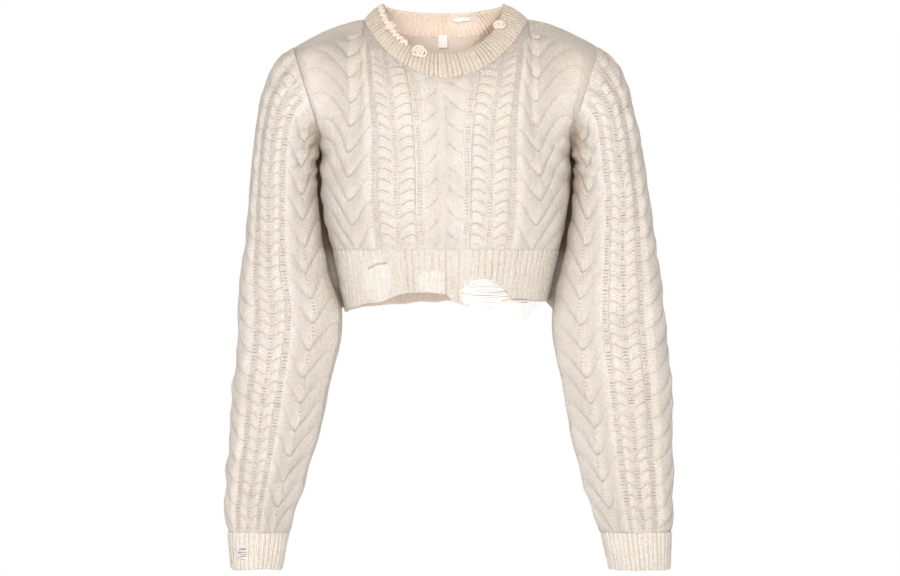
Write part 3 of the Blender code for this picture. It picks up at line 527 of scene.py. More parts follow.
def gutters(bands, across):
    """Depth, from 0 to 1, of the narrow plain gutters at the edges of the ladders."""
    depth = np.zeros_like(across)
    for band, start in zip(bands, band_starts(bands)):
        if band.course == "ladder":
            for line in (start + GUTTER_INSET, start + band.width - GUTTER_INSET):
                depth = np.maximum(depth, np.exp(-(((across - line) / GUTTER_WIDTH) ** 2)))
    return depth


def eyelet_places(bands, index, across, along, hand):
    """Coordinates with an eyelet at each whole number, for columns in band number index."""
    starts = band_starts(bands)
    u = np.full(np.broadcast(across, along).shape, 0.5)
    v = np.full_like(u, 0.5)
    for number, band in enumerate(bands):
        offset = across - starts[number]
        if band.course == "ladder":
            length = RUNG_LENGTH if band.width > WIDE_LADDER else NARROW_RUNG_LENGTH
            column = (offset - band.width / 2) / length
            row = along / RUNG_GAP + 0.5 * number + 0.3 * hand
        elif band.course in ("dips", "rises"):
            line = band.width if band.course == "dips" else 0.0
            column = (offset - line) / EYELET_GAP
            beat = along / band.period
            part = beat - np.floor(beat)
            row = np.clip((part - 0.55) * band.period / EYELET_GAP * 1.25, -0.5, 2.5)
        else:
            continue
        here = (index == number) & (np.abs(column) < 0.5)
        u = np.where(here, column, u)
        v = np.where(here, row, v)
    return u, v


def stitch_places(bands, index, across, along, hand):
    """Stitch counts along and across the strands of band number index at each column."""
    starts = band_starts(bands)
    u = np.zeros(np.broadcast(across, along).shape)
    v = np.zeros_like(u)
    for number, band in enumerate(bands):
        p = (across - starts[number]) / band.width
        if band.course == "plain":
            band_u, band_v = across / WALE + 0.0 * along, along / COURSE + 0.0 * across
        elif band.course == "ladder":
            band_u, band_v = band.wales * p + 0.0 * along, along / COURSE + 0.0 * across
        else:
            samples = np.linspace(0.0, 1.0, 65)
            climb = band.climb * band.period * strand_course(band, samples)
            length = sums(np.hypot(band.width / 64, np.diff(climb)))
            band_u = band.wales * strand_phase(band, p, along, hand)
            band_v = np.interp(p, samples, length) / COURSE + 0.0 * along
            band_v = band_v + np.minimum(p, 0.0) * band.width * 1.4 / COURSE
        u = np.where(index == number, band_u, u)
        v = np.where(index == number, band_v, v)
    return u, v


def corner_values(left, right):
    """Values at the four corners of each cell, from those at its left and right columns."""
    return np.stack([left[:-1], right[:-1], right[1:], left[1:]], axis=-1)


def cable_stitches(places, bands, across, along, hand):
    """Coordinates that places gives, for each corner of each cell of a cabled wall."""
    first, last = slice(0, -1), slice(1, None)
    corners = [(first, first), (first, last), (last, last), (last, first)]
    middle = sum(across[corner] for corner in corners) / 4
    index = np.searchsorted(band_starts(bands), middle, side="right") - 1
    index = np.clip(index, 0, len(bands) - 1)
    values = [places(bands, index, across[corner], along[corner], hand) for corner in corners]
    return np.stack([np.stack(value, axis=-1) for value in zip(*values)], axis=-1)


def plain_stitches(rows, cells, width, height):
    """Stitch coordinates of plain knitting, for a grid whose cells are width by height."""
    left = np.broadcast_to(np.arange(cells) * width / WALE, (rows, cells))
    level = np.broadcast_to((np.arange(rows) * height / COURSE)[:, None], (rows, cells))
    right = left + width / WALE
    return np.stack([corner_values(left, right), corner_values(level, level)], axis=-1)


# Walls


def add_object(name, data):
    """A new object in the scene."""
    made = bpy.data.objects.new(name, data)
    bpy.context.scene.collection.objects.link(made)
    return made


# The cells beside a cell, and the ends of the edge that it shares with each
BESIDE_CELL = (
    ((0, 1), (0, 0), (0, 1)),
    ((2, 1), (1, 1), (1, 0)),
    ((1, 0), (1, 0), (0, 0)),
    ((1, 2), (0, 1), (1, 1)),
)


def wall_mesh(
    name, outer, inner, stitches, inner_stitches, furrow, hint,
    closed=False, step=1, keep=None, eyelets=None, inner_furrow=None,
):
    """One closed wall from its outer and its inner grid, joined round the edges.

    The inner grid holds every step-th row and column of the outer one. keep says which
    cells are there, where the wall has holes; hint is the outward direction at each point.
    """
    rows, columns = outer.shape[:2]
    inner_rows, inner_columns = inner.shape[:2]
    cells = columns if closed else columns - 1
    inner_cells = inner_columns if closed else inner_columns - 1
    if keep is None:
        keep = np.ones((rows - 1, cells), bool)
    shift = rows * columns

    def over(row, column):
        return row * columns + column % columns

    def under(row, column):
        return shift + row * inner_columns + column % inner_columns

    r, c = np.nonzero(keep)
    quads = np.stack([over(r, c), over(r, c + 1), over(r + 1, c + 1), over(r + 1, c)], axis=-1)
    r_in, c_in = np.nonzero(keep if step == 1 else np.ones((inner_rows - 1, inner_cells), bool))
    corners = [(r_in, c_in), (r_in + 1, c_in), (r_in + 1, c_in + 1), (r_in, c_in + 1)]
    backs = np.stack([under(*corner) for corner in corners], axis=-1)
    if eyelets is None:
        eyelets = np.full_like(stitches, 0.5)
    backs_stitches = inner_stitches[r_in, c_in][:, [0, 3, 2, 1]].reshape(-1, 2)
    coordinates = {
        "stitches": [stitches[r, c].reshape(-1, 2), backs_stitches],
        "eyelets": [eyelets[r, c].reshape(-1, 2), np.full_like(backs_stitches, 0.5)],
    }
    faces = quads.tolist() + backs.tolist()
    rims = []
    if step == 1:
        padded = np.zeros((rows + 1, cells + 2), bool)
        padded[1:-1, 1:-1] = keep
        for row, column in zip(r.tolist(), c.tolist()):
            for beyond, start, end in BESIDE_CELL:
                if not padded[row + beyond[0], column + beyond[1]]:
                    a, b = (row + start[0], column + start[1]), (row + end[0], column + end[1])
                    rims.append([over(*b), over(*a), under(*a), under(*b)])
    else:
        last, right = rows - 1, columns - 1
        spans = [[(0, c0 + k) for k in range(step, -1, -1)] for c0 in range(0, cells, step)]
        spans += [[(last, c0 + k) for k in range(step + 1)] for c0 in range(0, cells, step)]
        if not closed:
            spans += [[(r0 + k, 0) for k in range(step + 1)] for r0 in range(0, last, step)]
            spans += [[(r0 + k, right) for k in range(step, -1, -1)] for r0 in range(0, last, step)]
        for span in spans:
            first, final = (under(a // step, b // step) for a, b in (span[0], span[-1]))
            half = step // 2
            for k in range(step):
                rims.append([over(*span[k]), over(*span[k + 1]), first if k < half else final])
            rims.append([over(*span[half]), final, first])
    faces += rims
    count = sum(len(face) for face in rims)
    coordinates["stitches"].append(np.zeros((count, 2)))
    coordinates["eyelets"].append(np.full((count, 2), 0.5))
    coordinates = {layer: np.concatenate(parts) for layer, parts in coordinates.items()}

    points = np.concatenate([outer.reshape(-1, 3), inner.reshape(-1, 3)])
    row, column = rows // 2, columns // 4
    beside = outer[row, column + 1] - outer[row, column]
    above = outer[row + 1, column] - outer[row, column]
    if np.dot(np.cross(beside, above), hint[row, column]) < 0:
        faces = [face[::-1] for face in faces]
        lengths = np.array([len(face) for face in faces])
        ends = np.cumsum(lengths)
        order = [np.arange(end - 1, end - length - 1, -1) for end, length in zip(ends, lengths)]
        order = np.concatenate(order)
        coordinates = {layer: flat[order] for layer, flat in coordinates.items()}
    mesh = bpy.data.meshes.new(name)
    mesh.from_pydata((points * MM).tolist(), [], faces)
    for layer, flat in coordinates.items():
        mesh.uv_layers.new(name=layer)
        mesh.uv_layers[layer].data.foreach_set("uv", flat.astype(np.float32).ravel())
    shade = mesh.attributes.new("furrow", "FLOAT", "POINT")
    if inner_furrow is None:
        inner_furrow = np.zeros((inner_rows, inner_columns))
    values = np.concatenate([furrow.ravel(), inner_furrow.ravel()])
    shade.data.foreach_set("value", values.astype(np.float32))
    sides = np.zeros(len(faces), np.int32)
    sides[len(quads) : len(quads) + len(backs)] = 1
    mesh.polygons.foreach_set("material_index", sides)
    mesh.shade_smooth()
    mesh.set_sharp_from_angle(angle=math.radians(75))
    return add_object(name, mesh)


# The cabled pieces


def half_panel(side):
    """Base points of the half of a panel at X >= 0, with where they lie in the knit."""
    width = band_starts(BODY_BANDS)[-1]
    near = np.linspace(0.0, NECK_ACROSS, NECK_COLUMNS + 1)
    far = np.linspace(NECK_ACROSS, width, SIDE_COLUMNS + 1)[1:]
    across = np.concatenate([near, far])
    shares = across / width
    neck_share = NECK_ACROSS / width
    count = SOLID_ROWS * FINE
    heights = np.linspace(Z_HEM_SEAM + SEAM / 2, Z_UNDERARM, count + 1)
    half_widths, fronts, backs = body_sections(heights)
    rows = []
    for z, half_width, front, back in zip(heights, half_widths, fronts, backs):
        depth = front if side < 0 else back
        angles = math.pi / 2 - ellipse_angles(depth, half_width, shares, math.pi / 2)
        row = [half_width * np.cos(angles), side * depth * np.sin(angles), np.full(len(shares), z)]
        rows.append(np.stack(row, axis=-1))
    base = rows[-1]
    up = np.linspace(0.0, 1.0, count + 1)
    armhole = ring_points(side * math.pi * (1.0 - up), ARMHOLE)
    neck = shares <= neck_share + 1e-6
    neck_angles = math.pi / 2 * shares[neck] / neck_share
    top = np.zeros_like(base)
    top[neck] = neck_points(NECK_SEAM, neck_angles, side)
    down = (shares[~neck] - neck_share) / (1.0 - neck_share)
    top[~neck, 0] = NECK_SEAM.half_width + (SHOULDER_END_X - NECK_SEAM.half_width) * down
    top[~neck, 2] = NECK_SEAM.z_side - SHOULDER_DROP * down**SHOULDER_BOW
    middle = base[0] + (top[0] - base[0]) * np.stack([up, up**1.7, up], axis=-1)
    u = shares[None, :, None]
    w = up[:, None, None]
    corners = (1 - u) * ((1 - w) * base[0] + w * top[0]) + u * ((1 - w) * base[-1] + w * top[-1])
    sheet = (1 - u) * middle[:, None] + u * armhole[:, None] + (1 - w) * base + w * top - corners
    outward = unit(np.array([0.0, side, 0.6]))
    sheet = sheet + UPPER_BULGE * np.sin(math.pi * u) * np.sin(math.pi * w) * outward
    points = np.concatenate([np.array(rows[:-1]), sheet])
    for _ in range(EASING * FINE**2):
        points[1:-1, :-1] = (points[:-2, :-1] + 2 * points[1:-1, :-1] + points[2:, :-1]) / 4
    return points, across, neck, neck_seam_normals(neck_angles, side), up


def panel_normals(points, side, neck, neck_normals, up):
    """Normals of a half panel, with the ones on its seams lying in the seams' planes."""
    hint = np.array([0.0, side, 0.0]) + np.array([1.0, 0.0, 0.6]) * (points[..., :1] / 400.0)
    plain = grid_normals(points, hint)
    normals = plain.copy()
    normals[:, 0, 0] = 0.0
    normals[0, :, 2] = 0.0
    below = SOLID_ROWS * FINE
    normals[: below + 1, -1] = [1.0, 0.0, 0.0]
    normals[below:, -1] = ring_normals(side * math.pi * (1.0 - up), ARMHOLE)
    normals[-1, : len(neck_normals)] = neck_normals
    first = neck_normals[-1] * [1.0, 0.0, 1.0]
    last = normals[-1, -1] * [1.0, 0.0, 1.0]
    share = np.linspace(0.0, 1.0, int(np.sum(~neck)) + 1)[:, None]
    normals[-1, len(neck_normals) - 1 :] = (1 - share) * first + share * last
    # The seams' directions fade into the wall over a few rows and columns.
    fade_rows = (1.0 - ramp(np.arange(len(points)), 0, 9))[::-1, None, None]
    fade_columns = (1.0 - ramp(np.arange(points.shape[1]), 0, 6))[::-1][None, :, None]
    blended = plain * (1 - fade_rows) + normals[-1:] * fade_rows
    blended = blended * (1 - fade_columns) + normals[:, -1:] * fade_columns
    blended[-1], blended[0], blended[:, -1] = normals[-1], normals[0], normals[:, -1]
    blended[:, 0, 0] = 0.0
    return unit(blended)


def panel_folds(points, side):
    """Soft creases of a panel: slack over the whole and drag lines towards the underarm."""
    folds = 1.1 * unevenness(points, 85.0, 11 + side) + 0.5 * unevenness(points, 34.0, 17 + side)
    x, z = np.abs(points[..., 0]), points[..., 2]
    reach = np.exp(-(((x - 150.0) / 42.0) ** 2) - ((z + 128.0) / 52.0) ** 2)
    drag = np.sin(2 * math.pi * (0.62 * x + 0.78 * z) / 23.0)
    return folds + 1.5 * reach * drag


def armhole_fill(far):
    """How far the knit fills the corner at the armhole, at distances from it."""
    return ARMHOLE_FILL * np.clip(1.0 - far / ARMHOLE_REACH, 0.0, 1.0) ** 2


def neck_shadow(points):
    """How deep the wool's shade is on the inside of the back, beside the neckband's left."""
    x, z = points[..., 0], points[..., 2]
    above = z - (-24.0 + 0.94 * (x - 25.0))
    high = (1.0 - ramp(above, 2.0, 15.0)) * ramp(z, -70.0, -40.0)
    return 1.4 * ramp(x, 0.0, 42.0) * high * (points[..., 1] > 20.0)


def inside_grid(base, normals, folds, ease=1.0):
    """The coarser inner grid of a wall, which follows most of the folds."""
    folds = INNER_FOLDS * np.maximum(folds, LEAST_FOLD) * ease
    return (base - normals * (WALL - folds)[..., None])[::COARSE, ::COARSE]


def panel(name, side):
    """The front (side -1) or the back (side 1) of the body."""
    points, across, neck, neck_normals, up = half_panel(side)
    normals = panel_normals(points, side, neck, neck_normals, up)
    lengths = run_lengths(points)
    from_top = lengths[-1] - lengths
    edge = np.minimum(lengths, from_top)
    to_side = (across[-1] - across)[None, :] + 0.0 * lengths
    to_side[: SOLID_ROWS * FINE] = BEYOND
    mirror = np.array([-1.0, 1.0, 1.0])

    points[:, :, 1] += side * SEAM / 2 * np.clip(1.0 - np.abs(points[:, :, 1]) / 4.0, 0.0, 1.0)
    points[SOLID_ROWS * FINE :, -1] -= armhole_side() * SEAM / 2
    neck_angles = math.pi / 2 * across[neck] / NECK_ACROSS
    inward = unit(neck_points(NECK_EDGE, neck_angles, side) - points[-1, : len(neck_normals)])
    points[-1, : len(neck_normals)] -= inward * SEAM
    points[-1, :, 1] = side * np.maximum(side * points[-1, :, 1], SEAM / 2)

    halves = []
    for flip, hand in ((mirror, 1.0), (np.ones(3), 0.0)):
        place = points * flip
        # Knitting is never quite even, so each crossing sits a little off its place.
        along = lengths + 1.5 * unevenness(place, 60.0, 5) * ramp(edge, 0.0, WAVE_EASE)
        drift = 0.9 * unevenness(place, 75.0, 8) * ramp(edge, 0.0, WAVE_EASE) - MIDDLE_SHIFT
        wander = np.clip(across[None, :] + drift * flip[0], -PLAIT_REACH, across[-1])
        fade = np.clip((edge + 3.0) / CABLE_FADE, 0.25, 1.0)
        fade = fade * np.clip(to_side / CABLE_FADE, 0.0, 1.0)
        shoulder = ramp(across, 48.0, 86.0)[None, :] * (1.0 - ramp(from_top, 20.0, 54.0))
        cables = 1.0 - shoulder
        height, furrow = cable_relief(BODY_BANDS, wander, along, hand)
        relief = LEVEL + (height - LEVEL) * fade * cables
        beside_armhole = np.zeros(len(points))
        beside_armhole[SOLID_ROWS * FINE :] = np.sin(math.pi * (1.0 - up)) ** 0.7
        relief = relief + beside_armhole[:, None] * armhole_fill(to_side)
        relief = relief - 0.15 * gutters(BODY_BANDS, wander) * cables
        relief = relief * (1.0 + SWELL * unevenness(place, SWELL_SIZE, 21))
        ease = ramp(np.minimum(edge, to_side), 0.0, 16.0)
        relief = relief + panel_folds(place, side) * ease
        relief = relief - SEAM_DIP * np.exp(-((edge / SEAM_DIP_WIDTH) ** 2))
        furrow = furrow * cables * fade
        stitches = cable_stitches(stitch_places, BODY_BANDS, wander, along, hand)
        eyelets = cable_stitches(eyelet_places, BODY_BANDS, wander, along, hand)
        smooth = cables[:-1, :-1] < 0.5
        stitches[smooth] = cable_stitches(stitch_places, PLAIN_BANDS, wander, along, hand)[smooth]
        eyelets[smooth | (edge[:-1, :-1] < 5.0)] = 0.5
        halves.append((place, normals * flip, relief, furrow, stitches, eyelets))
    *points, stitches, eyelets = zip(*halves)
    base, normals, relief, furrow = (np.concatenate([a[:, :0:-1], b], axis=1) for a, b in points)
    # The corners of a cell change places in the mirror.
    stitches, eyelets = (
        np.concatenate([a[:, ::-1][:, :, [1, 0, 3, 2]], b], axis=1) for a, b in (stitches, eyelets)
    )
    outer = base + normals * relief[..., None]
    to_edge = np.minimum(edge, to_side)
    to_edge = np.concatenate([to_edge[:, :0:-1], to_edge], axis=1)
    folds = panel_folds(base, side)
    inner = inside_grid(base, normals, folds, ramp(to_edge, 0.0, 16.0))
    plain = plain_stitches(inner.shape[0], inner.shape[1] - 1, 1.26 * COARSE, 1.2 * COARSE)
    return wall_mesh(
        name, outer, inner, stitches, plain, furrow, normals,
        step=COARSE, eyelets=eyelets, inner_furrow=neck_shadow(inner),
    )


def sleeve_rings(rings):
    """The rings of a sleeve, evenly spaced along its outer line."""
    table = np.array([ARMHOLE] + list(rings))
    table[1:, 0] -= SLEEVE_RISE
    places = sums(np.hypot(np.diff(table[:, 0]), np.diff(table[:, 1])))
    coarse = np.linspace(0.0, places[-1], SLEEVE_ROWS + 1)
    rows = through(places, table, coarse)
    wanted = np.linspace(0.0, places[-1], SLEEVE_ROWS * FINE + 1)
    return [Ring(*row) for row in through(coarse, rows, wanted)]


def beside_body(points):
    """Points of a sleeve where X is above 0, with its inner side, towards the back, hanging
    against the body's side, the painted shade of each in and beside the crevice between
    them, and how stretched."""
    x, y, z = points[..., 0], points[..., 1], points[..., 2]
    half_widths, _, backs = body_sections(np.clip(z, BODY[0].z, BODY[-1].z).ravel())
    half_widths, backs = half_widths.reshape(z.shape), backs.reshape(z.shape)
    shape = np.sqrt(np.maximum(1.0 - (np.maximum(y, 0.0) / backs) ** 2, 0.05))
    apart = x - (half_widths * shape + BODY_CLEARANCE)
    tall = between(z, CLING_LOW, CLING_HIGH)
    stretched = between(y, CLING_START, CLING_END) * tall * (1.0 - ramp(apart, *CLING_REACH))
    moved = points.copy()
    moved[..., 0] -= np.maximum(apart, 0.0) * stretched
    # Painted shade in the crevice where the sleeve hangs against the body, brown above 1
    crevice_shade = between(y, (-4.0, 10.0), (30.0, 44.0)) * tall * (1.0 - ramp(apart, 22.0, 34.0))
    low = 0.4 + 0.6 * ramp(z, -285.0, -235.0)
    crevice_shade = 3.2 * crevice_shade * np.clip(1.0 - apart / 60.0, 0.0, 1.0) * low
    # Painted shade on the sleeve's front beside the crevice and near the armpit, brown above 1
    beside = (1.0 - ramp(apart, 0.0, 27.0)) * ramp(y, -56.0, -22.0) * tall
    armpit = between(z, (-165.0, -132.0), (-116.0, -92.0)) * between(y, (-66.0, -42.0), (0.0, 30.0))
    beside = np.maximum(beside, armpit * (1.0 - ramp(apart, 2.0, 22.0)))
    return moved, np.maximum(crevice_shade, 1.42 * beside), stretched * ramp(apart, 0.0, 12.0)


def sleeve_folds(points, lengths, mirror):
    """Soft creases of a sleeve: slack, a crumpled underarm and folds above the cuff."""
    folds = 1.3 * unevenness(points, 95.0, 31 + mirror)
    folds = folds + 0.6 * unevenness(points, 38.0, 37 + mirror)
    x, y, z = np.abs(points[..., 0]), points[..., 1], points[..., 2]
    under = np.exp(-(((x - 158.0) / 30.0) ** 2)) * ramp(z, -215.0, -150.0)
    crumple = np.sin(2 * math.pi * (0.55 * x + 0.84 * z + 0.12 * y) / 15.0)
    slack = np.exp(-(((lengths - 60.0) / 50.0) ** 2))
    bend = np.sin(2 * math.pi * (0.35 * x + 0.94 * z) / 46.0 + 0.8 * unevenness(points, 60.0, 41))
    return folds + 1.6 * under * crumple + 1.1 * slack * bend


def sleeve(name, rings, mirror, turn=0.0):
    """A sleeve, as a tube of rings from the armhole to the cuff; mirror -1 puts it at -X.

    turn is how far its cables lie round towards the front.
    """
    rings = sleeve_rings(rings)
    bands = SLEEVE_BANDS
    width = band_starts(bands)[-1]
    cable = np.linspace(0.0, width, CABLE_COLUMNS + 1)
    base, flat_normals, beyond, facing = [], [], [], []
    for ring in rings:
        half = math.hypot(ring.x_out - ring.x_in, ring.z_out - ring.z_in) / 2
        table, lengths = ellipse_lengths(half, ring.half_depth, 2 * math.pi)
        around = lengths[-1] / 2
        ends = cable * min(around / SLEEVE_AROUND, (around - GUSSET_LEAST) / width)
        gusset = np.linspace(ends[-1], around, GUSSET_COLUMNS + 1)[1:]
        front = np.concatenate([ends, gusset])
        wanted = np.concatenate([front, 2 * around - front[-2:0:-1]]) + turn
        angles = -np.interp(wanted % (2 * around), lengths, table)
        facing.append(np.abs(np.sin(angles)) ** 0.7)
        base.append(ring_points(angles, ring))
        flat_normals.append(ring_normals(angles, ring))
        beyond.append(width + gusset - ends[-1])
    flat_normals, beyond = np.array(flat_normals), np.array(beyond)
    base, crevice_shade, stretched = beside_body(np.array(base))
    wrapped = np.concatenate([base[:, -1:], base, base[:, :1]], axis=1)
    hints = np.concatenate([flat_normals[:, -1:], flat_normals, flat_normals[:, :1]], axis=1)
    normals = grid_normals(wrapped, hints)[:, 1:-1]
    fade = (1.0 - ramp(np.arange(len(rings)), 0, 9))[:, None, None]
    normals = normals * (1 - fade) + flat_normals[:1] * fade
    normals = normals * (1 - fade[::-1]) + flat_normals[-1:] * [1.0, 1.0, 0.0] * fade[::-1]
    normals = unit(normals)

    across = np.concatenate([np.broadcast_to(cable, (len(rings), len(cable))), beyond], axis=1)
    hand = np.zeros(2 * across.shape[1] - 2)
    hand[across.shape[1] :] = 1.0
    across = np.concatenate([across, across[:, -2:0:-1]], axis=1)
    lengths = run_lengths(base[::-1])[::-1]
    from_top = lengths[0] - lengths
    edge = np.minimum(lengths, from_top)
    base[0] -= armhole_side() * SEAM
    base[-1, :, 2] += SEAM / 2
    flip = np.array([mirror, 1.0, 1.0])
    base, normals = base * flip, normals * flip

    along = lengths + 1.6 * unevenness(base, 60.0, 6) * ramp(edge, 0.0, WAVE_EASE)
    drift = 0.8 * unevenness(base, 75.0, 9) * ramp(edge, 0.0, WAVE_EASE)
    drift = drift * ramp(width - across, 0.0, 10.0)
    wander = np.maximum(across + drift * (1.0 - 2.0 * hand), -PLAIT_REACH)
    taper = np.clip(np.minimum(from_top, edge + 3.0) / CABLE_FADE, 0.0, 1.0)
    taper = taper * ramp(width + 3.0 - across, 0.0, 8.0) * (1.0 - 0.85 * ramp(stretched, 0.0, 0.5))
    height, furrow = cable_relief(bands, np.minimum(wander, width), along, hand)
    relief = LEVEL + (height - LEVEL) * taper + np.array(facing) * armhole_fill(from_top)
    relief = relief - 0.3 * gutters(bands, wander) * ramp(edge, 3.0, 14.0)
    relief = relief * (1.0 + SWELL * unevenness(base, SWELL_SIZE, 21))
    folds = sleeve_folds(base, lengths, mirror) * ramp(edge, 0.0, 18.0)
    relief = relief + folds - SEAM_DIP * np.exp(-((lengths / SEAM_DIP_WIDTH) ** 2))
    outer = base + normals * relief[..., None]
    inner = inside_grid(base, normals, folds)

    def ringed(values):
        return np.concatenate([values, values[:, :1]], axis=1)

    bands = bands + PLAIN_BANDS
    stitches = cable_stitches(stitch_places, bands, ringed(wander), ringed(along), hand)
    eyelets = cable_stitches(eyelet_places, bands, ringed(wander), ringed(along), hand)
    eyelets[(edge[:-1] < 6.0) | (stretched[:-1] > 0.1)] = 0.5
    plain = plain_stitches(inner.shape[0], inner.shape[1], 1.5 * COARSE, 1.85 * COARSE)
    # The furrow attribute carries the cables' and the crevice's painted shade.
    return wall_mesh(
        name, outer, inner, stitches, plain, furrow * taper + crevice_shade, normals,
        closed=True, step=COARSE, eyelets=eyelets,
    )


# The ribbed pieces


def rib_profile(part, wales):
    """Height, from 0 to 1, of a rib at a part of its pitch; the furrow is at 0 and 1."""
    crest = ramp(np.sin(math.pi * part), 0.05, 0.6)
    return crest - (0.16 * np.cos(math.pi * (part - 0.5)) ** 12 if wales > 1 else 0.0)


def rib_places(count, columns, height, length, wales):
    """Stitch coordinates for each corner of each cell of a ribbed wall."""
    cells = np.arange(columns)
    number = cells // RIB_CELLS
    left = (cells - number * RIB_CELLS) / RIB_CELLS
    right = left + 1.0 / RIB_CELLS
    spread = [(part - 0.5) / 0.72 * wales + wales / 2 + 10 * number for part in (left, right)]
    u = [np.broadcast_to(row, (count, columns)) for row in spread]
    v = np.broadcast_to((height * length / COURSE)[:, None], (count, columns))
    return np.stack([corner_values(*u), corner_values(v, v)], axis=-1)


def ribbed_wall(name, base, normals, ups, rib, length, patches=(), tear=None, slit=None):
    """A ribbed wall over rows of base points; ups are the rows' shares from the seam."""
    count = np.arange(base.shape[1]) / RIB_CELLS + 0.06 * unevenness(base, 22.0, 51)
    part = count - np.floor(count)
    # Some furrows between the ribs are pulled deeper than others.
    deep = np.random.default_rng(base.shape[1]).uniform(0.2, 1.0, base.shape[1] // RIB_CELLS + 3)
    deep = deep[np.round(count).astype(int)]
    line = deep * np.exp(-((rib.pitch * np.minimum(part, 1.0 - part) / 0.95) ** 2))
    strength = np.ones(base.shape[:2])
    for patch in patches:
        strength = strength * (1.0 - let_down(patch, base))
    opened = 0.0 if slit is None else slit_depth(slit, base)
    hollow = (0.4 + 0.6 * deep) * (1.0 - rib_profile(part, rib.wales))
    outward = rib.rise * (1.0 - hollow) * strength
    outward = outward + 0.35 * rib.rise * (1.0 - strength)
    inward = 1.0 + rib.rise * rib_profile(part + 0.5, rib.wales) * strength
    round_off = rounded((1.0 - ups) * length + 0.12, 1.5)[:, None]
    outward = outward + 0.25 * unevenness(base, 12.0, 52) - 1.3 * opened
    seam_roll = 0.3 * np.exp(-((ups * length / 2.0) ** 2))[:, None]
    middle = (outward - RIB_WALL) / 2
    outer = base + normals * (middle + (outward - seam_roll - middle) * round_off)[..., None]
    inward = middle + (-RIB_WALL + 1.0 - inward * 0.6 - middle) * round_off
    inner = base + normals * inward[..., None]
    stitches = rib_places(base.shape[0], base.shape[1] - 1, ups, length, rib.wales)
    # The furrows between ribs and the slit are painted shade, dark brown above 1; below 0,
    # the finish shows paler, let-down yarn.
    furrow = RIB_SHADE * min(rib.rise / NECK_RIB.rise, 1.0) * line * strength
    furrow = furrow - PALER * (1.0 - strength) + 1.7 * opened
    inside = 0.4 * line * strength - 1.5 * PALER * (1.0 - strength) + neck_shadow(inner)
    keep = None if tear is None else whole_cells(tear, base)
    return wall_mesh(
        name, outer, inner, stitches, stitches, furrow, normals, keep=keep, inner_furrow=inside
    )


def rib_rows(length, rib):
    """Shares of a ribbed piece's length at which its rows lie, closer at its free edge."""
    count = round(length / rib.spacing)
    rows = np.linspace(0.0, 1.0 - 1.6 / length, count)
    return np.concatenate([rows, 1.0 - np.array([1.1, 0.6, 0.25, 0.0]) / length])


def rows_between(ends, ups):
    """Rows of points from the first of two lines to the second."""
    share = ups[:, None, None]
    return ends[0] * (1 - share) + ends[1] * share


def neckband(name, side, **damage):
    """Half of the neckband, in front (side -1) or behind (side 1)."""
    angles = np.linspace(-math.pi / 2, math.pi / 2, ELLIPSE_STEPS + 1)
    mean = (neck_points(NECK_SEAM, angles, side) + neck_points(NECK_EDGE, angles, side)) / 2
    lengths = run_lengths(mean[:, None])[:, 0]
    ribs = round(lengths[-1] / NECK_RIB.pitch)
    angles = np.interp(np.linspace(0.0, lengths[-1], ribs * RIB_CELLS + 1), lengths, angles)
    seam = neck_points(NECK_SEAM, angles, side)
    edge = neck_points(NECK_EDGE, angles, side)
    normals = neck_seam_normals(angles, side)
    normals[[0, -1], 1] = 0.0
    normals = unit(normals)
    seam = seam + unit(edge - seam) * SEAM / 2
    length = float(np.linalg.norm(edge - seam, axis=-1).mean())
    ups = rib_rows(length, NECK_RIB)
    rows = []
    for up in ups:
        row = seam + (edge - seam) * up + normals * BAND_BULGE * math.sin(math.pi * up)
        row[[0, -1], 1] = side * SEAM / 2
        rows.append(row)
    base = np.array(rows)
    sway = 0.7 * unevenness(base, 40.0, 61) * ups[:, None] * ramp(np.abs(base[..., 1]), 0.0, 12.0)
    base = base + unit(edge - seam)[None] * sway[..., None]
    normals = np.broadcast_to(normals, base.shape)
    return ribbed_wall(name, base, normals, ups, NECK_RIB, length, **damage)


def hem(name, side, edge, **damage):
    """The ribbed hem of the front (side -1) or the back (side 1)."""
    (half_width,), (front,), (back,) = body_sections([Z_HEM_SEAM])
    depth = front if side < 0 else back
    around = math.pi * math.sqrt((half_width**2 + depth**2) / 2)
    ribs = round(around / HEM_RIB.pitch)
    shares = np.linspace(0.0, 1.0, ribs * RIB_CELLS + 1)
    ends = np.interp(shares * 180.0 - 90.0, [p.angle for p in edge], [p.z for p in edge])
    top = Z_HEM_SEAM - SEAM / 2
    lines, normals = [], []
    for down in (0.0, 1.0):
        heights = top + (ends - top) * down
        half_width, front, back = body_sections(heights)
        depth = front if side < 0 else back
        angles = ellipse_angles(float(half_width.mean()), float(depth.mean()), shares, math.pi)
        x = -half_width * np.cos(angles)
        y = side * depth * np.sin(angles)
        out = np.stack([x / half_width**2, y / depth**2, np.zeros_like(x)], axis=-1)
        out[[0, -1], 1] = 0.0
        y[[0, -1]] = side * SEAM / 2
        lines.append(np.stack([x, y, heights], axis=-1))
        normals.append(unit(out))
    length = float(top - ends.mean())
    ups = rib_rows(length, HEM_RIB)
    base, normals = rows_between(lines, ups), unit(rows_between(normals, ups))
    base[..., 2] += 1.2 * unevenness(base, 26.0, 71) * ups[:, None] ** 3
    ease = np.sin(math.pi * shares)[None, :] ** 0.5
    sway = 0.9 * unevenness(base, 55.0, 72 + side) * ups[:, None] * ease
    base = base + normals * sway[..., None]
    return ribbed_wall(name, base, normals, ups, HEM_RIB, length, **damage)


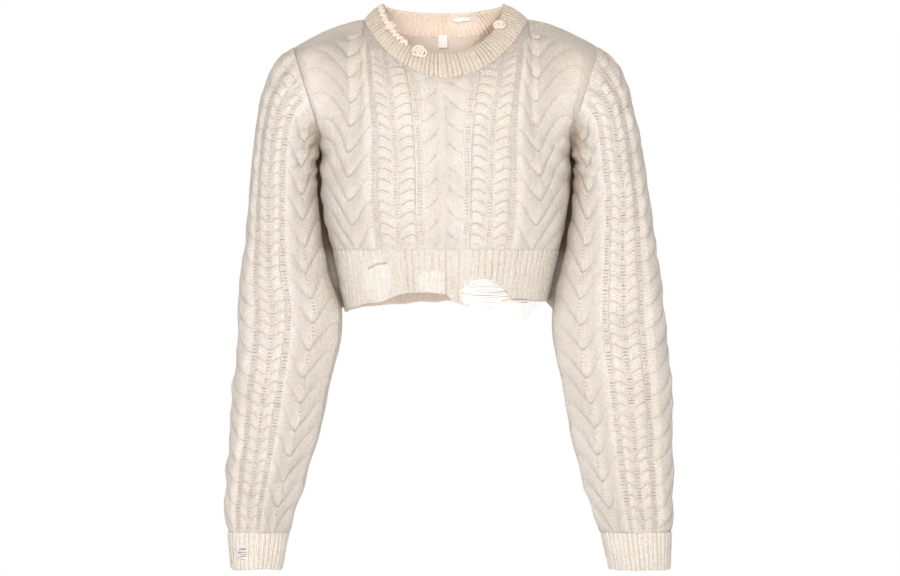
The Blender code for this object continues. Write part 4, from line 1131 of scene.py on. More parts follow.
def cuff(name, side, top, bottom, mirror, **damage):
    """Half of a cuff, in front (side -1) or behind (side 1); mirror -1 puts it at -X."""
    half = (top.x_out - top.x_in) / 2
    around = math.pi * math.sqrt((half**2 + top.half_depth**2) / 2)
    ribs = round(around / CUFF_RIB.pitch)
    shares = np.linspace(0.0, 1.0, ribs * RIB_CELLS + 1)
    lines, normals = [], []
    for ring, gap in ((top, SEAM / 2), (bottom, 0.0)):
        half = (ring.x_out - ring.x_in) / 2
        angles = side * ellipse_angles(half, ring.half_depth, shares, math.pi)
        line = ring_points(angles, ring)
        line[:, 2] = ring.z_out - gap
        line[[0, -1], 1] = side * SEAM / 2 - ring.forward
        out = ring_normals(angles, ring)
        out[[0, -1], 1] = 0.0
        lines.append(line * [mirror, 1.0, 1.0])
        normals.append(unit(out * [mirror, 1.0, 1.0]))
    length = top.z_out - bottom.z_out
    ups = rib_rows(length, CUFF_RIB)
    base, normals = rows_between(lines, ups), unit(rows_between(normals, ups))
    base[..., 2] += unevenness(base, 24.0, 81) * ups[:, None] ** 3
    return ribbed_wall(name, base, normals, ups, CUFF_RIB, length, **damage)


def let_down(patch, base):
    """How far, from 0 to 1, ribs are let down into a smooth patch of loose threads."""
    ragged = 0.12 * unevenness(base, 10.0, 95)
    x, z = (base[..., 0] - patch.x) / patch.half_x, (base[..., 2] - patch.z) / patch.half_z
    return 1.0 - ramp(np.abs(x) ** 3 + np.abs(z) ** 3 + ragged, 0.5, 1.4)


def slit_depth(slit, base):
    """Depth, from 0 to 1, of a slit between two points of a wall's front."""
    (x0, z0), (x1, z1) = slit
    x, z = base[..., 0] - x0, base[..., 2] - z0
    share = np.clip((x * (x1 - x0) + z * (z1 - z0)) / ((x1 - x0) ** 2 + (z1 - z0) ** 2), 0.0, 1.0)
    bow = 2.0 * np.sin(math.pi * share)
    far = np.hypot(x - share * (x1 - x0), z - share * (z1 - z0) - bow)
    return np.exp(-((far / 1.1) ** 2)) * (base[..., 1] < 0.0)


def whole_cells(tear, base):
    """Which cells of a wall stay where a tear goes through it."""
    centre = (base[:-1, :-1] + base[1:, 1:]) / 2
    x, z = centre[..., 0] - tear.x, centre[..., 2] - tear.z
    turn = math.radians(tear.turn)
    over = x * math.cos(turn) - z * math.sin(turn)
    up = x * math.sin(turn) + z * math.cos(turn)
    ragged = 1.0 + 0.13 * unevenness(centre, 9.0, 91)
    return (over / tear.half_x) ** 2 + (up / tear.half_z) ** 2 >= ragged**2


# Finishes

WHITE = (1.0, 1.0, 1.0, 1.0)
# Painted shade multiplied into the wool near the top, between these heights in metres
TOP_SHADE = (0.98, 0.955, 0.915, 1.0)
TOP_SHADE_HEIGHTS = (-0.1, -0.01)
# Painted shade: the dark brown of eyelets, slits and the crevice between sleeve and body
PAINTED_SHADE_BROWN = (0.16, 0.075, 0.025, 1.0)
TAPE_THREAD = 0.7 * MM  # width of two threads of the label's tape


class Value:
    """An output of a node; arithmetic with it makes Math nodes in the same tree."""

    def __init__(self, socket):
        self.socket = socket
        self.tree = socket.id_data

    def __add__(self, other):
        return reckon("ADD", self, other)

    def __sub__(self, other):
        return reckon("SUBTRACT", self, other)

    def __rsub__(self, other):
        return reckon("SUBTRACT", other, self)

    def __mul__(self, other):
        return reckon("MULTIPLY", self, other)

    def __pow__(self, other):
        return reckon("POWER", self, other)


def place(tree, kind, inputs=None, **settings):
    """A node in a tree, with its settings, and its inputs set or joined to other outputs."""
    made = tree.nodes.new(kind)
    for name, value in settings.items():
        setattr(made, name, value)
    for key, value in (inputs or {}).items():
        if isinstance(value, Value):
            tree.links.new(value.socket, made.inputs[key])
        else:
            made.inputs[key].default_value = value
    return made


def output(tree, kind, inputs=None, socket=0, **settings):
    """One output of a new node, the first unless another is named."""
    return Value(place(tree, kind, inputs, **settings).outputs[socket])


def reckon(operation, *values, kind="ShaderNodeMath"):
    """The result of a Math node, in the tree of the first value that has one."""
    tree = next(value.tree for value in values if isinstance(value, Value))
    return output(tree, kind, dict(enumerate(values)), operation=operation)


def vector_math(operation, *values):
    """The result of a Vector Math node."""
    return reckon(operation, *values, kind="ShaderNodeVectorMath")


def scaled(vector, share):
    """A vector made longer or shorter."""
    inputs = {0: vector, "Scale": share}
    return output(vector.tree, "ShaderNodeVectorMath", inputs, operation="SCALE")


def parts_of(vector):
    """The X, Y and Z of a vector."""
    made = place(vector.tree, "ShaderNodeSeparateXYZ", {0: vector})
    return [Value(socket) for socket in made.outputs]


def noise(where, scale, detail=2.0, dimensions="3D", socket="Fac"):
    """Smooth noise at a place, from 0 to 1."""
    inputs = {"Vector": where, "Scale": scale, "Detail": detail}
    return output(where.tree, "ShaderNodeTexNoise", inputs, socket, noise_dimensions=dimensions)


def share_of(value, low, high, to_low=0.0, **settings):
    """How far a value is from low to high, as a number from to_low to 1."""
    inputs = {"Value": value, "From Min": low, "From Max": high, "To Min": to_low}
    return output(value.tree, "ShaderNodeMapRange", inputs, "Result", **settings)


def mix(factor, first, second, **settings):
    """A colour between two others."""
    inputs = {"Factor": factor, "A": first, "B": second}
    return output(factor.tree, "ShaderNodeMix", inputs, "Result", data_type="RGBA", **settings)


def node_group(name, inputs, outputs, kind="ShaderNodeTree"):
    """An empty group of nodes, and the values that it is given, by name."""
    group = bpy.data.node_groups.new(name, kind)
    for label, socket_type, value in inputs:
        socket = group.interface.new_socket(
            name=label, in_out="INPUT", socket_type=f"NodeSocket{socket_type}"
        )
        if value is not None:
            socket.default_value = value
    for label, socket_type in outputs:
        group.interface.new_socket(
            name=label, in_out="OUTPUT", socket_type=f"NodeSocket{socket_type}"
        )
    given = group.nodes.new("NodeGroupInput")
    return group, {label: Value(given.outputs[label]) for label, _, _ in inputs}


def stitch_group(name, amount):
    """A group for one kind of stitch, the count of stitches, and how far a place lies across
    and along them when they are a little uneven."""
    group, given = node_group(
        name,
        [("Stitches", "Vector", None), ("Unevenness", "Float", amount)],
        [("Height", "Float"), ("Shade", "Float")],
    )
    stitches = given["Stitches"]
    soft = noise(stitches, 0.9, 1.0, "2D", "Color")
    offset = vector_math("SUBTRACT", soft, (0.5, 0.5, 0.5))
    moved = vector_math("ADD", stitches, scaled(offset, given["Unevenness"]))
    across, along, _ = parts_of(moved)
    return group, stitches, across, along


def stocking_stitch_group():
    """Rows of V stitches: each is two slanted legs of plied yarn."""
    group, stitches, across, along = stitch_group("Stocking Stitch", 0.12)
    from_middle = reckon("ABSOLUTE", reckon("FRACT", across) - 0.5)
    across_leg = (from_middle - 0.25) * 4.0
    leg = reckon("MAXIMUM", 1.0 - across_leg * across_leg, 0.0)
    slant = along + from_middle * 1.7
    wave = reckon("SINE", reckon("FRACT", slant) * math.pi)
    loop = reckon("MAXIMUM", wave, 0.0) ** 0.6
    number = vector_math("FLOOR", stitches)
    own = output(
        group, "ShaderNodeTexWhiteNoise", {"Vector": number}, "Value", noise_dimensions="2D"
    )
    body = leg**0.6 * (loop * 0.7 + 0.3)
    body = body * (1.0 - (from_middle * 2.0) ** 4.0 * 0.5)
    body = body * (own * 0.6 + 0.55)
    ply = reckon("SINE", (slant * 3.0 + across_leg * 0.6) * (2 * math.pi))
    place(group, "NodeGroupOutput", {"Height": body + ply * 0.07 * body, "Shade": 1.0 - body})


def purl_stitch_group():
    """The wrong side of the knit: rows of small interlocked arcs."""
    group, _, across, along = stitch_group("Purl Stitch", 0.15)
    level = along + reckon("SINE", across * (2 * math.pi)) * 0.22
    bead = reckon("SINE", reckon("FRACT", level * 2.0) * math.pi)
    height = reckon("MAXIMUM", bead, 0.0) ** 0.7
    place(group, "NodeGroupOutput", {"Height": height, "Shade": 1.0 - height})


def eyelet_group():
    """Small holes where a row of stitches is let down, drawn as dark spots of painted shade."""
    group, given = node_group(
        "Eyelets",
        [("Places", "Vector", None), ("Size", "Float", 0.2), ("Amount", "Float", 1.0)],
        [("Hole", "Float")],
    )
    places = given["Places"]
    across, along, _ = parts_of(places)
    level = (reckon("FRACT", along + 0.5) - 0.5) * 1.1
    far = reckon("SQRT", across * across + level * level)
    size = given["Size"] * (noise(places, 0.7, dimensions="2D") * 2.0)
    edge = share_of(far, size, size * 0.4, interpolation_type="SMOOTHSTEP")
    runs = noise(places, 0.33, dimensions="2D")
    there = share_of(runs, 0.38, 0.56, 0.15)
    place(group, "NodeGroupOutput", {"Hole": edge * (there * given["Amount"])})


def wool_colour_and_shade_group():
    """Undyed wool of a little uneven tone, with painted shade: darker and warmer between stitches
    and in the furrows, lighter on top of the yarn.
    """
    group, given = node_group(
        "Wool Colour and Shade",
        [
            ("Light", "Color", None),
            ("Deep", "Color", None),
            ("Shade", "Float", 0.0),
            ("Furrow", "Float", 0.0),
            ("Hole", "Float", 0.0),
        ],
        [("Color", "Color"), ("Fibre", "Float")],
    )
    spot = output(group, "ShaderNodeTexCoord", socket="Object")
    _, _, level = parts_of(spot)
    fibre = noise(spot, 900.0)
    mottled = (noise(spot, 28.0) - 0.5) * 0.2
    tufted = (noise(spot, 380.0, 1.0) - 0.5) * 0.5
    grain = (fibre - 0.5) * 0.4
    # Shade and Furrow are painted shade; below 0, Furrow draws paler, let-down yarn.
    depth = given["Shade"] * 0.85 + reckon("MINIMUM", given["Furrow"], 1.0) * 0.55
    total = depth + (mottled + (tufted + grain))
    clamped = output(group, "ShaderNodeClamp", {"Value": total})
    coloured = mix(clamped, given["Light"], given["Deep"])
    # Painted shade: the wool is drawn a little darker and warmer towards the shoulders,
    # where less light falls.
    high = share_of(level, *TOP_SHADE_HEIGHTS)
    top_shaded = mix(high, coloured, TOP_SHADE, blend_type="MULTIPLY")
    # Painted shade: Furrow above 1 and the eyelets' holes turn the colour dark brown.
    crevice = reckon("MAXIMUM", given["Furrow"] - 1.0, 0.0)
    hollow = reckon("MAXIMUM", given["Hole"], reckon("MINIMUM", crevice, 0.95))
    colour = mix(hollow, top_shaded, PAINTED_SHADE_BROWN)
    place(group, "NodeGroupOutput", {"Color": colour, "Fibre": fibre})


def material_tree(name):
    """A material with an empty node tree, and the tree."""
    material = bpy.data.materials.new(name)
    material.use_nodes = True
    material.node_tree.nodes.clear()
    return material, material.node_tree


def finish(tree, height, depth, **looks):
    """End a material's tree: a relief so deep, and the looks of its surface."""
    bump = output(tree, "ShaderNodeBump", {"Height": height, "Distance": depth})
    inputs = {label.replace("_", " "): value for label, value in looks.items()}
    shader = output(tree, "ShaderNodeBsdfPrincipled", inputs | {"Normal": bump})
    place(tree, "ShaderNodeOutputMaterial", {"Surface": shader})


def group_node(tree, name, inputs):
    """A node that stands for a whole group, and its outputs by name."""
    made = place(tree, "ShaderNodeGroup", inputs, node_tree=bpy.data.node_groups[name])
    return {socket.name: Value(socket) for socket in made.outputs}


def wool(name, stitches, light, deep, depth, hole_size=0.2, holes_seen=1.0, glow=0.0):
    """A knitted finish: yarn by yarn relief from the stitches, painted shade in the hollows.

    glow is painted light on the knit's inside: an emission for the light that comes through the
    knit.
    """
    material, tree = material_tree(name)
    where = output(tree, "ShaderNodeUVMap", uv_map="stitches")
    knit = group_node(tree, stitches, {"Stitches": where})
    places = output(tree, "ShaderNodeUVMap", uv_map="eyelets")
    holes = group_node(tree, "Eyelets", {"Places": places, "Size": hole_size, "Amount": holes_seen})
    colour = {
        "Light": light,
        "Deep": deep,
        "Shade": knit["Shade"],
        "Furrow": output(tree, "ShaderNodeAttribute", socket="Fac", attribute_name="furrow"),
        "Hole": holes["Hole"],
    }
    tone_and_shade = group_node(tree, "Wool Colour and Shade", colour)
    finish(
        tree,
        knit["Height"] + tone_and_shade["Fibre"] * 0.22 - holes["Hole"],
        depth,
        Base_Color=tone_and_shade["Color"],
        # Painted light: the glow on the inside
        Emission_Color=tone_and_shade["Color"],
        Emission_Strength=glow,
        Roughness=0.92,
        Specular_IOR_Level=0.2,
        Sheen_Weight=0.25,
        Sheen_Roughness=0.5,
        Sheen_Tint=(1.0, 0.95, 0.88, 1.0),
    )
    return material


def yarn_finish(name, light, deep):
    """Plain yarn: its plies are in the mesh, its fibres in the finish."""
    material, tree = material_tree(name)
    tone_and_shade = group_node(tree, "Wool Colour and Shade", {"Light": light, "Deep": deep, "Shade": 0.25})
    finish(
        tree,
        tone_and_shade["Fibre"],
        0.25 * MM,
        Base_Color=tone_and_shade["Color"],
        Roughness=0.9,
        Specular_IOR_Level=0.2,
        Sheen_Weight=0.25,
        Sheen_Tint=(1.0, 0.97, 0.92, 1.0),
    )
    return material


def tape_finish():
    """White woven tape: a fine plain weave."""
    material, tree = material_tree("Woven Tape")
    spot = output(tree, "ShaderNodeTexCoord", socket="Object")
    x, _, z = parts_of(spot)
    threads_per_turn = 2 * math.pi / TAPE_THREAD
    weave = reckon("SINE", x * threads_per_turn) * reckon("SINE", z * threads_per_turn)
    share = reckon("MULTIPLY_ADD", weave, 0.5, 0.5)
    colour = mix(share, (0.9, 0.89, 0.87, 1.0), (0.78, 0.76, 0.73, 1.0))
    finish(tree, weave, 0.08 * MM, Base_Color=colour, Roughness=0.6)
    return material


def floor_finish():
    """The studio floor, pale near the garment and white further away."""
    material, tree = material_tree("Studio Floor")
    spot = output(tree, "ShaderNodeTexCoord", socket="Object")
    far = output(tree, "ShaderNodeVectorMath", {0: spot}, "Value", operation="LENGTH")
    share = share_of(far, 0.95, 1.5)
    matt = {"Base Color": (0.86, 0.85, 0.84, 1.0), "Roughness": 0.9}
    matt = output(tree, "ShaderNodeBsdfPrincipled", matt)
    white = output(tree, "ShaderNodeEmission", {"Color": WHITE, "Strength": 1.0})
    mixed = output(tree, "ShaderNodeMixShader", {0: share, 1: matt, 2: white})
    place(tree, "ShaderNodeOutputMaterial", {"Surface": mixed})
    return material


# Loose yarn

PLY_REACH = 0.24  # how far a ply lies from the yarn's middle, as a share of its diameter
PLY_RADIUS = 0.28


def plied_yarn_tree():
    """A Geometry Nodes tree that twists each path into a yarn of several plies."""
    inputs = (
        ("Paths", "Geometry", None),
        ("Diameter", "Float", None),
        ("Plies", "Int", None),
        ("Twists per Metre", "Float", None),
        ("Step", "Float", None),
        ("Sides", "Int", None),
        ("Material", "Material", None),
    )
    tree, given = node_group("Plied Yarn", inputs, [("Yarn", "Geometry")], "GeometryNodeTree")
    size, plies = given["Diameter"], given["Plies"]
    curves = {"Curve": given["Paths"], "Length": given["Step"]}
    even = output(tree, "GeometryNodeResampleCurve", curves, mode="LENGTH")
    amount = {"Geometry": even, "Amount": plies}
    copies = place(tree, "GeometryNodeDuplicateElements", amount, domain="SPLINE")
    length = output(tree, "GeometryNodeSplineParameter", socket="Length")
    start = reckon("DIVIDE", Value(copies.outputs["Duplicate Index"]), plies)
    angle = (length * given["Twists per Metre"] + start) * (2 * math.pi)
    normal = output(tree, "GeometryNodeInputNormal")
    tangent = output(tree, "GeometryNodeInputTangent")
    beside = vector_math("CROSS_PRODUCT", tangent, normal)
    reach = size * PLY_REACH
    parts = [
        scaled(direction, reckon(operation, angle) * reach)
        for operation, direction in (("COSINE", normal), ("SINE", beside))
    ]
    offset = {"Geometry": Value(copies.outputs[0]), "Offset": vector_math("ADD", *parts)}
    moved = output(tree, "GeometryNodeSetPosition", offset)
    round_ply = {"Resolution": given["Sides"], "Radius": size * PLY_RADIUS}
    circle = output(tree, "GeometryNodeCurvePrimitiveCircle", round_ply)
    tube = {"Curve": moved, "Profile Curve": circle, "Fill Caps": True}
    made = output(tree, "GeometryNodeCurveToMesh", tube)
    made = output(tree, "GeometryNodeSetShadeSmooth", {"Geometry": made})
    made = output(tree, "GeometryNodeRealizeInstances", {"Geometry": made})
    dressed = {"Geometry": made, "Material": given["Material"]}
    made = output(tree, "GeometryNodeSetMaterial", dressed)
    place(tree, "NodeGroupOutput", {0: made})
    return tree


def run_tree(source, tree, name, values):
    """The plain mesh object that a tree makes from a curve object, which is removed."""
    modifier = source.modifiers.new(tree.name, "NODES")
    modifier.node_group = tree
    sockets = {item.name: item.identifier for item in tree.interface.items_tree}
    for label, value in values.items():
        modifier[sockets[label]] = value
    bpy.context.view_layer.update()
    graph = bpy.context.evaluated_depsgraph_get()
    made = source.evaluated_get(graph)
    mesh = bpy.data.meshes.new_from_object(made, preserve_all_data_layers=True, depsgraph=graph)
    mesh.name = name
    curve = source.data
    bpy.data.objects.remove(source)
    bpy.data.curves.remove(curve)
    return add_object(name, mesh)


def smooth_path(points, spacing=1.0):
    """A smooth path through points, resampled evenly."""
    points = np.asarray(points, float)
    places = sums(np.linalg.norm(np.diff(points, axis=0), axis=1))
    count = max(3, int(places[-1] / spacing) + 1)
    return through(places, points, np.linspace(0.0, places[-1], count))


def yarns(name, paths, material, diameter, plies=3, twists=170.0, step=0.9, sides=6):
    """Yarn along paths in millimetres, as one mesh."""
    curve = bpy.data.curves.new(f"{name}_path", "CURVE")
    curve.dimensions = "3D"
    for path in paths:
        spline = curve.splines.new("POLY")
        spline.points.add(len(path) - 1)
        places = np.column_stack([np.asarray(path) * MM, np.ones(len(path))])
        spline.points.foreach_set("co", places.ravel())
    values = {
        "Diameter": diameter * MM,
        "Plies": plies,
        "Twists per Metre": twists,
        "Step": step * MM,
        "Sides": sides,
        "Material": material,
    }
    return run_tree(add_object(f"{name}_path", curve), yarn_tree, name, values)


def threads(name, paths, material, diameter=LOOSE_THREAD):
    """Fine loose threads: two plies, a few sides each."""
    return yarns(name, paths, material, diameter, plies=2, twists=260.0, step=1.1, sides=5)


def hem_line(x):
    """Where the strip of loose yarn runs, just under the front hem."""
    angle = math.degrees(math.asin(x / BODY[0].half_width))
    z = np.interp(angle, [p.angle for p in FRONT_HEM_EDGE], [p.z for p in FRONT_HEM_EDGE])
    half_widths, fronts, _ = body_sections([z])
    y = -fronts[0] * math.sqrt(1.0 - (x / half_widths[0]) ** 2)
    return np.array([x, y, z - SEAM - YARN / 2 - 0.1])


def cuff_line(x):
    """Where the strip of loose yarn runs, just under the left cuff's front."""
    ring = LEFT_CUFF_END
    return np.array([x, ring_front(ring, x), ring.z_out - SEAM - YARN / 2 - 0.1])


def loose_loops(strip, loops, line):
    """Paths of the ladder of threads along an edge and of the loops that hang from it."""
    paths = []
    for _ in range(STRIP_THREADS):
        shift = chance.normal(0.0, 0.5, (9, 3)) * [1.0, 1.0, 0.8]
        paths.append(smooth_path([line(x) for x in np.linspace(*strip, 9)] + shift))
    for loop in loops:
        points = []
        for t in np.linspace(0.0, 1.0, 13):
            x = loop.start + (loop.end - loop.start) * t
            hang = np.sin(math.pi * t) ** 0.8
            point = line(x) + np.array([0.0, -loop.forward * hang, 1.5 - (loop.drop + 1.5) * hang])
            points.append(point + chance.normal(0.0, 0.25, 3))
        paths.append(smooth_path(points))
    return paths


def hem_wall(x, z):
    """A point on the outside of the front hem."""
    (half_width,), (front,), _ = body_sections([z])
    return np.array([x, -front * math.sqrt(1.0 - (x / half_width) ** 2) - 0.6, z])


def cuff_wall(x, z):
    """A point on the outside of the right cuff's front; x is on the left of the middle."""
    down = (Z_CUFF_SEAM - z) / (Z_CUFF_SEAM - Z_CUFF_END)
    top, bottom = RIGHT_SLEEVE[-1], RIGHT_CUFF_END
    ring = Ring(*[a + (b - a) * down for a, b in zip(top, bottom)])
    return np.array([x, ring_front(ring, -x) - 0.4, z])


def let_down_threads(tear, wall, count, sag, spill=2.5):
    """Threads that lie side by side across a tear, where its stitches have run."""
    paths = []
    for level in np.linspace(-1.0, 1.0, count):
        half = tear.half_x * math.sqrt(max(1.0 - (0.92 * level) ** 2, 0.05)) + spill
        z = tear.z + tear.half_z * level + chance.normal(0.0, 0.2)
        tilt = chance.normal(0.0, 0.5)
        slack, swell = sag * chance.uniform(0.6, 1.0), chance.uniform(0.0, 1.6)
        points = []
        for t in np.linspace(-1.0, 1.0, 9):
            hang = 1.0 - t * t
            point = wall(tear.x + half * t, z - slack * hang + tilt * t)
            points.append(point - np.array([0.0, swell * hang, 0.0]))
        paths.append(smooth_path(points))
    return paths


def on_neckband(angle, up):
    """A point on the neckband's front, its outward normal, the way up it and round it."""
    spread = np.radians(angle + np.array([-1.0, 0.0, 1.0]))
    seam = neck_points(NECK_SEAM, spread, -1)[1]
    edge = neck_points(NECK_EDGE, spread, -1)[1]
    normal = neck_seam_normals(spread, -1)[1]
    along = unit(edge - seam)
    point = seam + (edge - seam) * up + normal * BAND_BULGE * math.sin(math.pi * min(up, 1.0))
    return point, normal, along, unit(np.cross(normal, along))


def small_loop(point, out, beside, reach, width):
    """A path that leaves a point, turns round in a small loop and comes back beside it."""
    lean = beside * chance.normal(0.0, 0.5) * reach
    points = []
    for t in np.linspace(0.0, 1.0, 7):
        hill = math.sin(math.pi * t)
        sway = beside * width * math.sin(2 * math.pi * t - 0.5 * math.pi) * (0.35 + 0.65 * hill)
        points.append(point + out * reach * hill + lean * hill + sway)
    return smooth_path(points, 0.6)


def neck_roll_paths(roll):
    """A rolled end on the neckband: a loose knot of yarn that coils in on itself."""
    point, normal, along, over = on_neckband(roll.angle, roll.up)
    middle = point + normal * (NECK_RIB.rise + SEAM + ROLL_YARN / 2 + 0.7)
    turns, wave = 2.9, chance.uniform(0.0, 2 * math.pi)
    points = []
    for turn in np.linspace(0.0, turns * 2 * math.pi, 60):
        share = turn / (turns * 2 * math.pi)
        reach = (roll.radius - ROLL_YARN / 2) * (1.0 - 0.9 * share)
        reach = reach * (1.0 + 0.13 * math.sin(2.7 * turn + wave))
        ray = math.cos(turn) * over + 0.86 * math.sin(turn) * along
        drop = reach**2 / (2 * NECK_EDGE.half_width) * math.cos(turn) ** 2
        lift = 1.5 * share + 0.7 * math.sin(1.7 * turn + wave)
        points.append(middle + ray * reach + normal * (lift - drop * 0.6))
    return [smooth_path(points)]


def neck_frill_paths(roll):
    """Small loops that stand out all round a rolled end."""
    point, normal, along, over = on_neckband(roll.angle, roll.up)
    paths = []
    for turn in np.linspace(0.0, 2 * math.pi, FRILL_LOOPS, endpoint=False):
        ray = math.cos(turn) * over + math.sin(turn) * along
        start = point + ray * roll.radius * chance.uniform(0.45, 0.75)
        start = start + normal * (NECK_RIB.rise + 1.5)
        out = unit(ray + normal * chance.uniform(0.2, 0.9))
        beside = unit(np.cross(out, normal))
        paths.append(small_loop(start, out, beside, chance.uniform(2.5, 4.5), 1.3))
    return paths


def frayed_edge_paths():
    """Loops of yarn along the torn inner edge of the neckband's right front."""
    paths = []
    for angle in np.linspace(*FRAY_ANGLES, FRAY_LOOPS):
        point, normal, along, over = on_neckband(angle, chance.uniform(0.86, 1.0))
        out = unit(normal * chance.uniform(0.5, 1.2) + along * chance.uniform(-0.3, 0.9))
        reach, width = chance.uniform(2.0, 4.5), chance.uniform(1.0, 2.0)
        paths.append(small_loop(point + normal * 1.2, out, over, reach, width))
    return paths


def pulled_stitch_paths(angles):
    """Stitches pulled out of line under the neckband's seam."""
    paths = []
    for angle in np.linspace(*angles, PULLED_STITCHES):
        point, normal, along, over = on_neckband(angle, 0.0)
        start = point - along * chance.uniform(1.0, 9.0) + normal * 4.6
        start = start + over * chance.normal(0.0, 1.0)
        out = unit(normal * 0.5 + along * chance.normal(0.0, 1.0))
        paths.append(small_loop(start, out, over, chance.uniform(1.2, 2.6), 1.4))
    return paths


def ruffle_path():
    """A thick frayed edge that folds to and fro along the neckband's right front."""
    points = []
    for number, angle in enumerate(np.linspace(*FRAY_ANGLES, 2 * RUFFLE_FOLDS + 1)):
        point, normal, along, _ = on_neckband(angle, RUFFLE_UP)
        fold = RUFFLE_REACH * (1 if number % 2 else -1) * chance.uniform(0.7, 1.2)
        points.append(point + normal * (2.6 + chance.uniform(-0.6, 1.2)) + along * fold)
    return smooth_path(points)


def neck_tape(material):
    """The blank label inside the back of the neck, with turned ends."""
    low, high = (np.array(corner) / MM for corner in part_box("neck_label"))
    columns, rows = 12, 16
    x = np.linspace(low[0] - 1.6, high[0] - 2.0, columns + 1)
    t = np.linspace(0.0, 1.0, rows + 1)
    front = np.array([low[1] - 1.9, low[1] - 0.9])
    bow = 0.25 * np.sin(math.pi * np.linspace(0, 1, columns + 1))
    y = (front[1] + (front[0] - front[1]) * (1.0 - t))[:, None] + bow[None, :]
    z = low[2] + 2.5 + (high[2] - low[2] + 2.0) * t
    grid = np.stack([np.broadcast_to(x, y.shape), y, np.broadcast_to(z[:, None], y.shape)], axis=-1)
    puff = 0.22 * (ramp(t, 0.0, 0.1) - ramp(t, 0.86, 0.96))[:, None]
    facing = np.array([0.0, -1.0, 0.3])
    outer = grid + facing * (0.3 - 0.2 * puff)[..., None]
    inner = grid - facing * 0.12
    flat = plain_stitches(rows + 1, columns, 1.0, 1.0)
    hint = np.broadcast_to(facing, grid.shape)
    made = wall_mesh("neck_tape", outer, inner, flat, flat, np.zeros(y.shape), hint)
    made.data.materials.append(material)
    made.data.polygons.foreach_set("material_index", np.zeros(len(made.data.polygons), np.int32))
    return made


# Everything together

stocking_stitch_group()
purl_stitch_group()
eyelet_group()
wool_colour_and_shade_group()
yarn_tree = plied_yarn_tree()

# Deep is the colour towards which random tone and the painted shade between stitches go.
WOOL_LIGHT, WOOL_DEEP = (0.97, 0.91, 0.86, 1.0), (0.46, 0.375, 0.285, 1.0)
RIB_LIGHT = (0.96, 0.905, 0.85, 1.0)
# Painted shade: the neckband's colours are darker than the body's, as less light falls on the top.
NECK_LIGHT, NECK_DEEP = (0.9, 0.825, 0.75, 1.0), (0.42, 0.33, 0.24, 1.0)
# Painted light on the inside: lighter and pinker colours, and a glow, for light that comes through
# the knit and bounces inside.
INSIDE_LIGHT, INSIDE_GLOW = (1.0, 0.89, 0.8, 1.0), 0.08
PURL_DEEP, RIB_INSIDE_DEEP = (0.82, 0.66, 0.54, 1.0), (0.74, 0.58, 0.46, 1.0)

STOCKING, PURL = "Stocking Stitch", "Purl Stitch"
CABLE_DEPTH, RIB_DEPTH, PURL_DEPTH, RIB_INSIDE_DEPTH = 1.5 * MM, 1.3 * MM, 0.9 * MM, 1.0 * MM

body_knit = wool("Body Cable Knit", STOCKING, WOOL_LIGHT, WOOL_DEEP, CABLE_DEPTH, 0.2, 0.38)
sleeve_knit = wool("Sleeve Cable Knit", STOCKING, WOOL_LIGHT, WOOL_DEEP, CABLE_DEPTH, 0.27, 0.5)
rib_knit = wool("Rib Knit", STOCKING, RIB_LIGHT, WOOL_DEEP, RIB_DEPTH)
neck_rib = wool("Neckband Rib Knit", STOCKING, NECK_LIGHT, NECK_DEEP, RIB_DEPTH)
knit_inside, rib_inside = (
    wool(name, stitches, INSIDE_LIGHT, deep, depth, glow=INSIDE_GLOW)
    for name, stitches, deep, depth in (
        ("Knit Wrong Side", PURL, PURL_DEEP, PURL_DEPTH),
        ("Rib Inside", STOCKING, RIB_INSIDE_DEEP, RIB_INSIDE_DEPTH),
    )
)
cream_yarn = yarn_finish("Cream Yarn", (0.72, 0.645, 0.565, 1.0), (0.4, 0.31, 0.22, 1.0))
pale_yarn = yarn_finish("Pale Yarn", (0.76, 0.745, 0.725, 1.0), (0.48, 0.455, 0.43, 1.0))

cabled = {
    "front": panel("front_knit", -1),
    "back": panel("back_knit", 1),
    "sleeve_right": sleeve("right_sleeve_knit", RIGHT_SLEEVE, -1),
    "sleeve_left": sleeve("left_sleeve_knit", LEFT_SLEEVE, 1, turn=LEFT_TURN),
}
hem_damage = {"patches": HEM_PATCHES, "tear": HEM_TEAR, "slit": HEM_SLIT}
ribbed = {
    "neckband_front": neckband("neckband_front_rib", -1),
    "neckband_back": neckband("neckband_back_rib", 1, patches=[NECK_PATCH], tear=NECK_TEAR),
    "hem_front": hem("hem_front_rib", -1, FRONT_HEM_EDGE, **hem_damage),
    "hem_back": hem("hem_back_rib", 1, BACK_HEM_EDGE),
}
for hand, end, mirror, rings in (
    ("right", RIGHT_CUFF_END, -1, RIGHT_SLEEVE),
    ("left", LEFT_CUFF_END, 1, LEFT_SLEEVE),
):
    for half, side in (("front", -1), ("back", 1)):
        damage = {"tear": CUFF_TEAR} if (hand, half) == ("right", "front") else {}
        piece = cuff(f"{hand}_cuff_{half}_rib", side, rings[-1], end, mirror, **damage)
        ribbed[f"cuff_{hand}_{half}"] = piece
for node, piece in cabled.items():
    piece.data.materials.append(sleeve_knit if "sleeve" in node else body_knit)
    piece.data.materials.append(knit_inside)
for node, piece in ribbed.items():
    piece.data.materials.append(neck_rib if "neckband" in node else rib_knit)
    piece.data.materials.append(rib_inside)

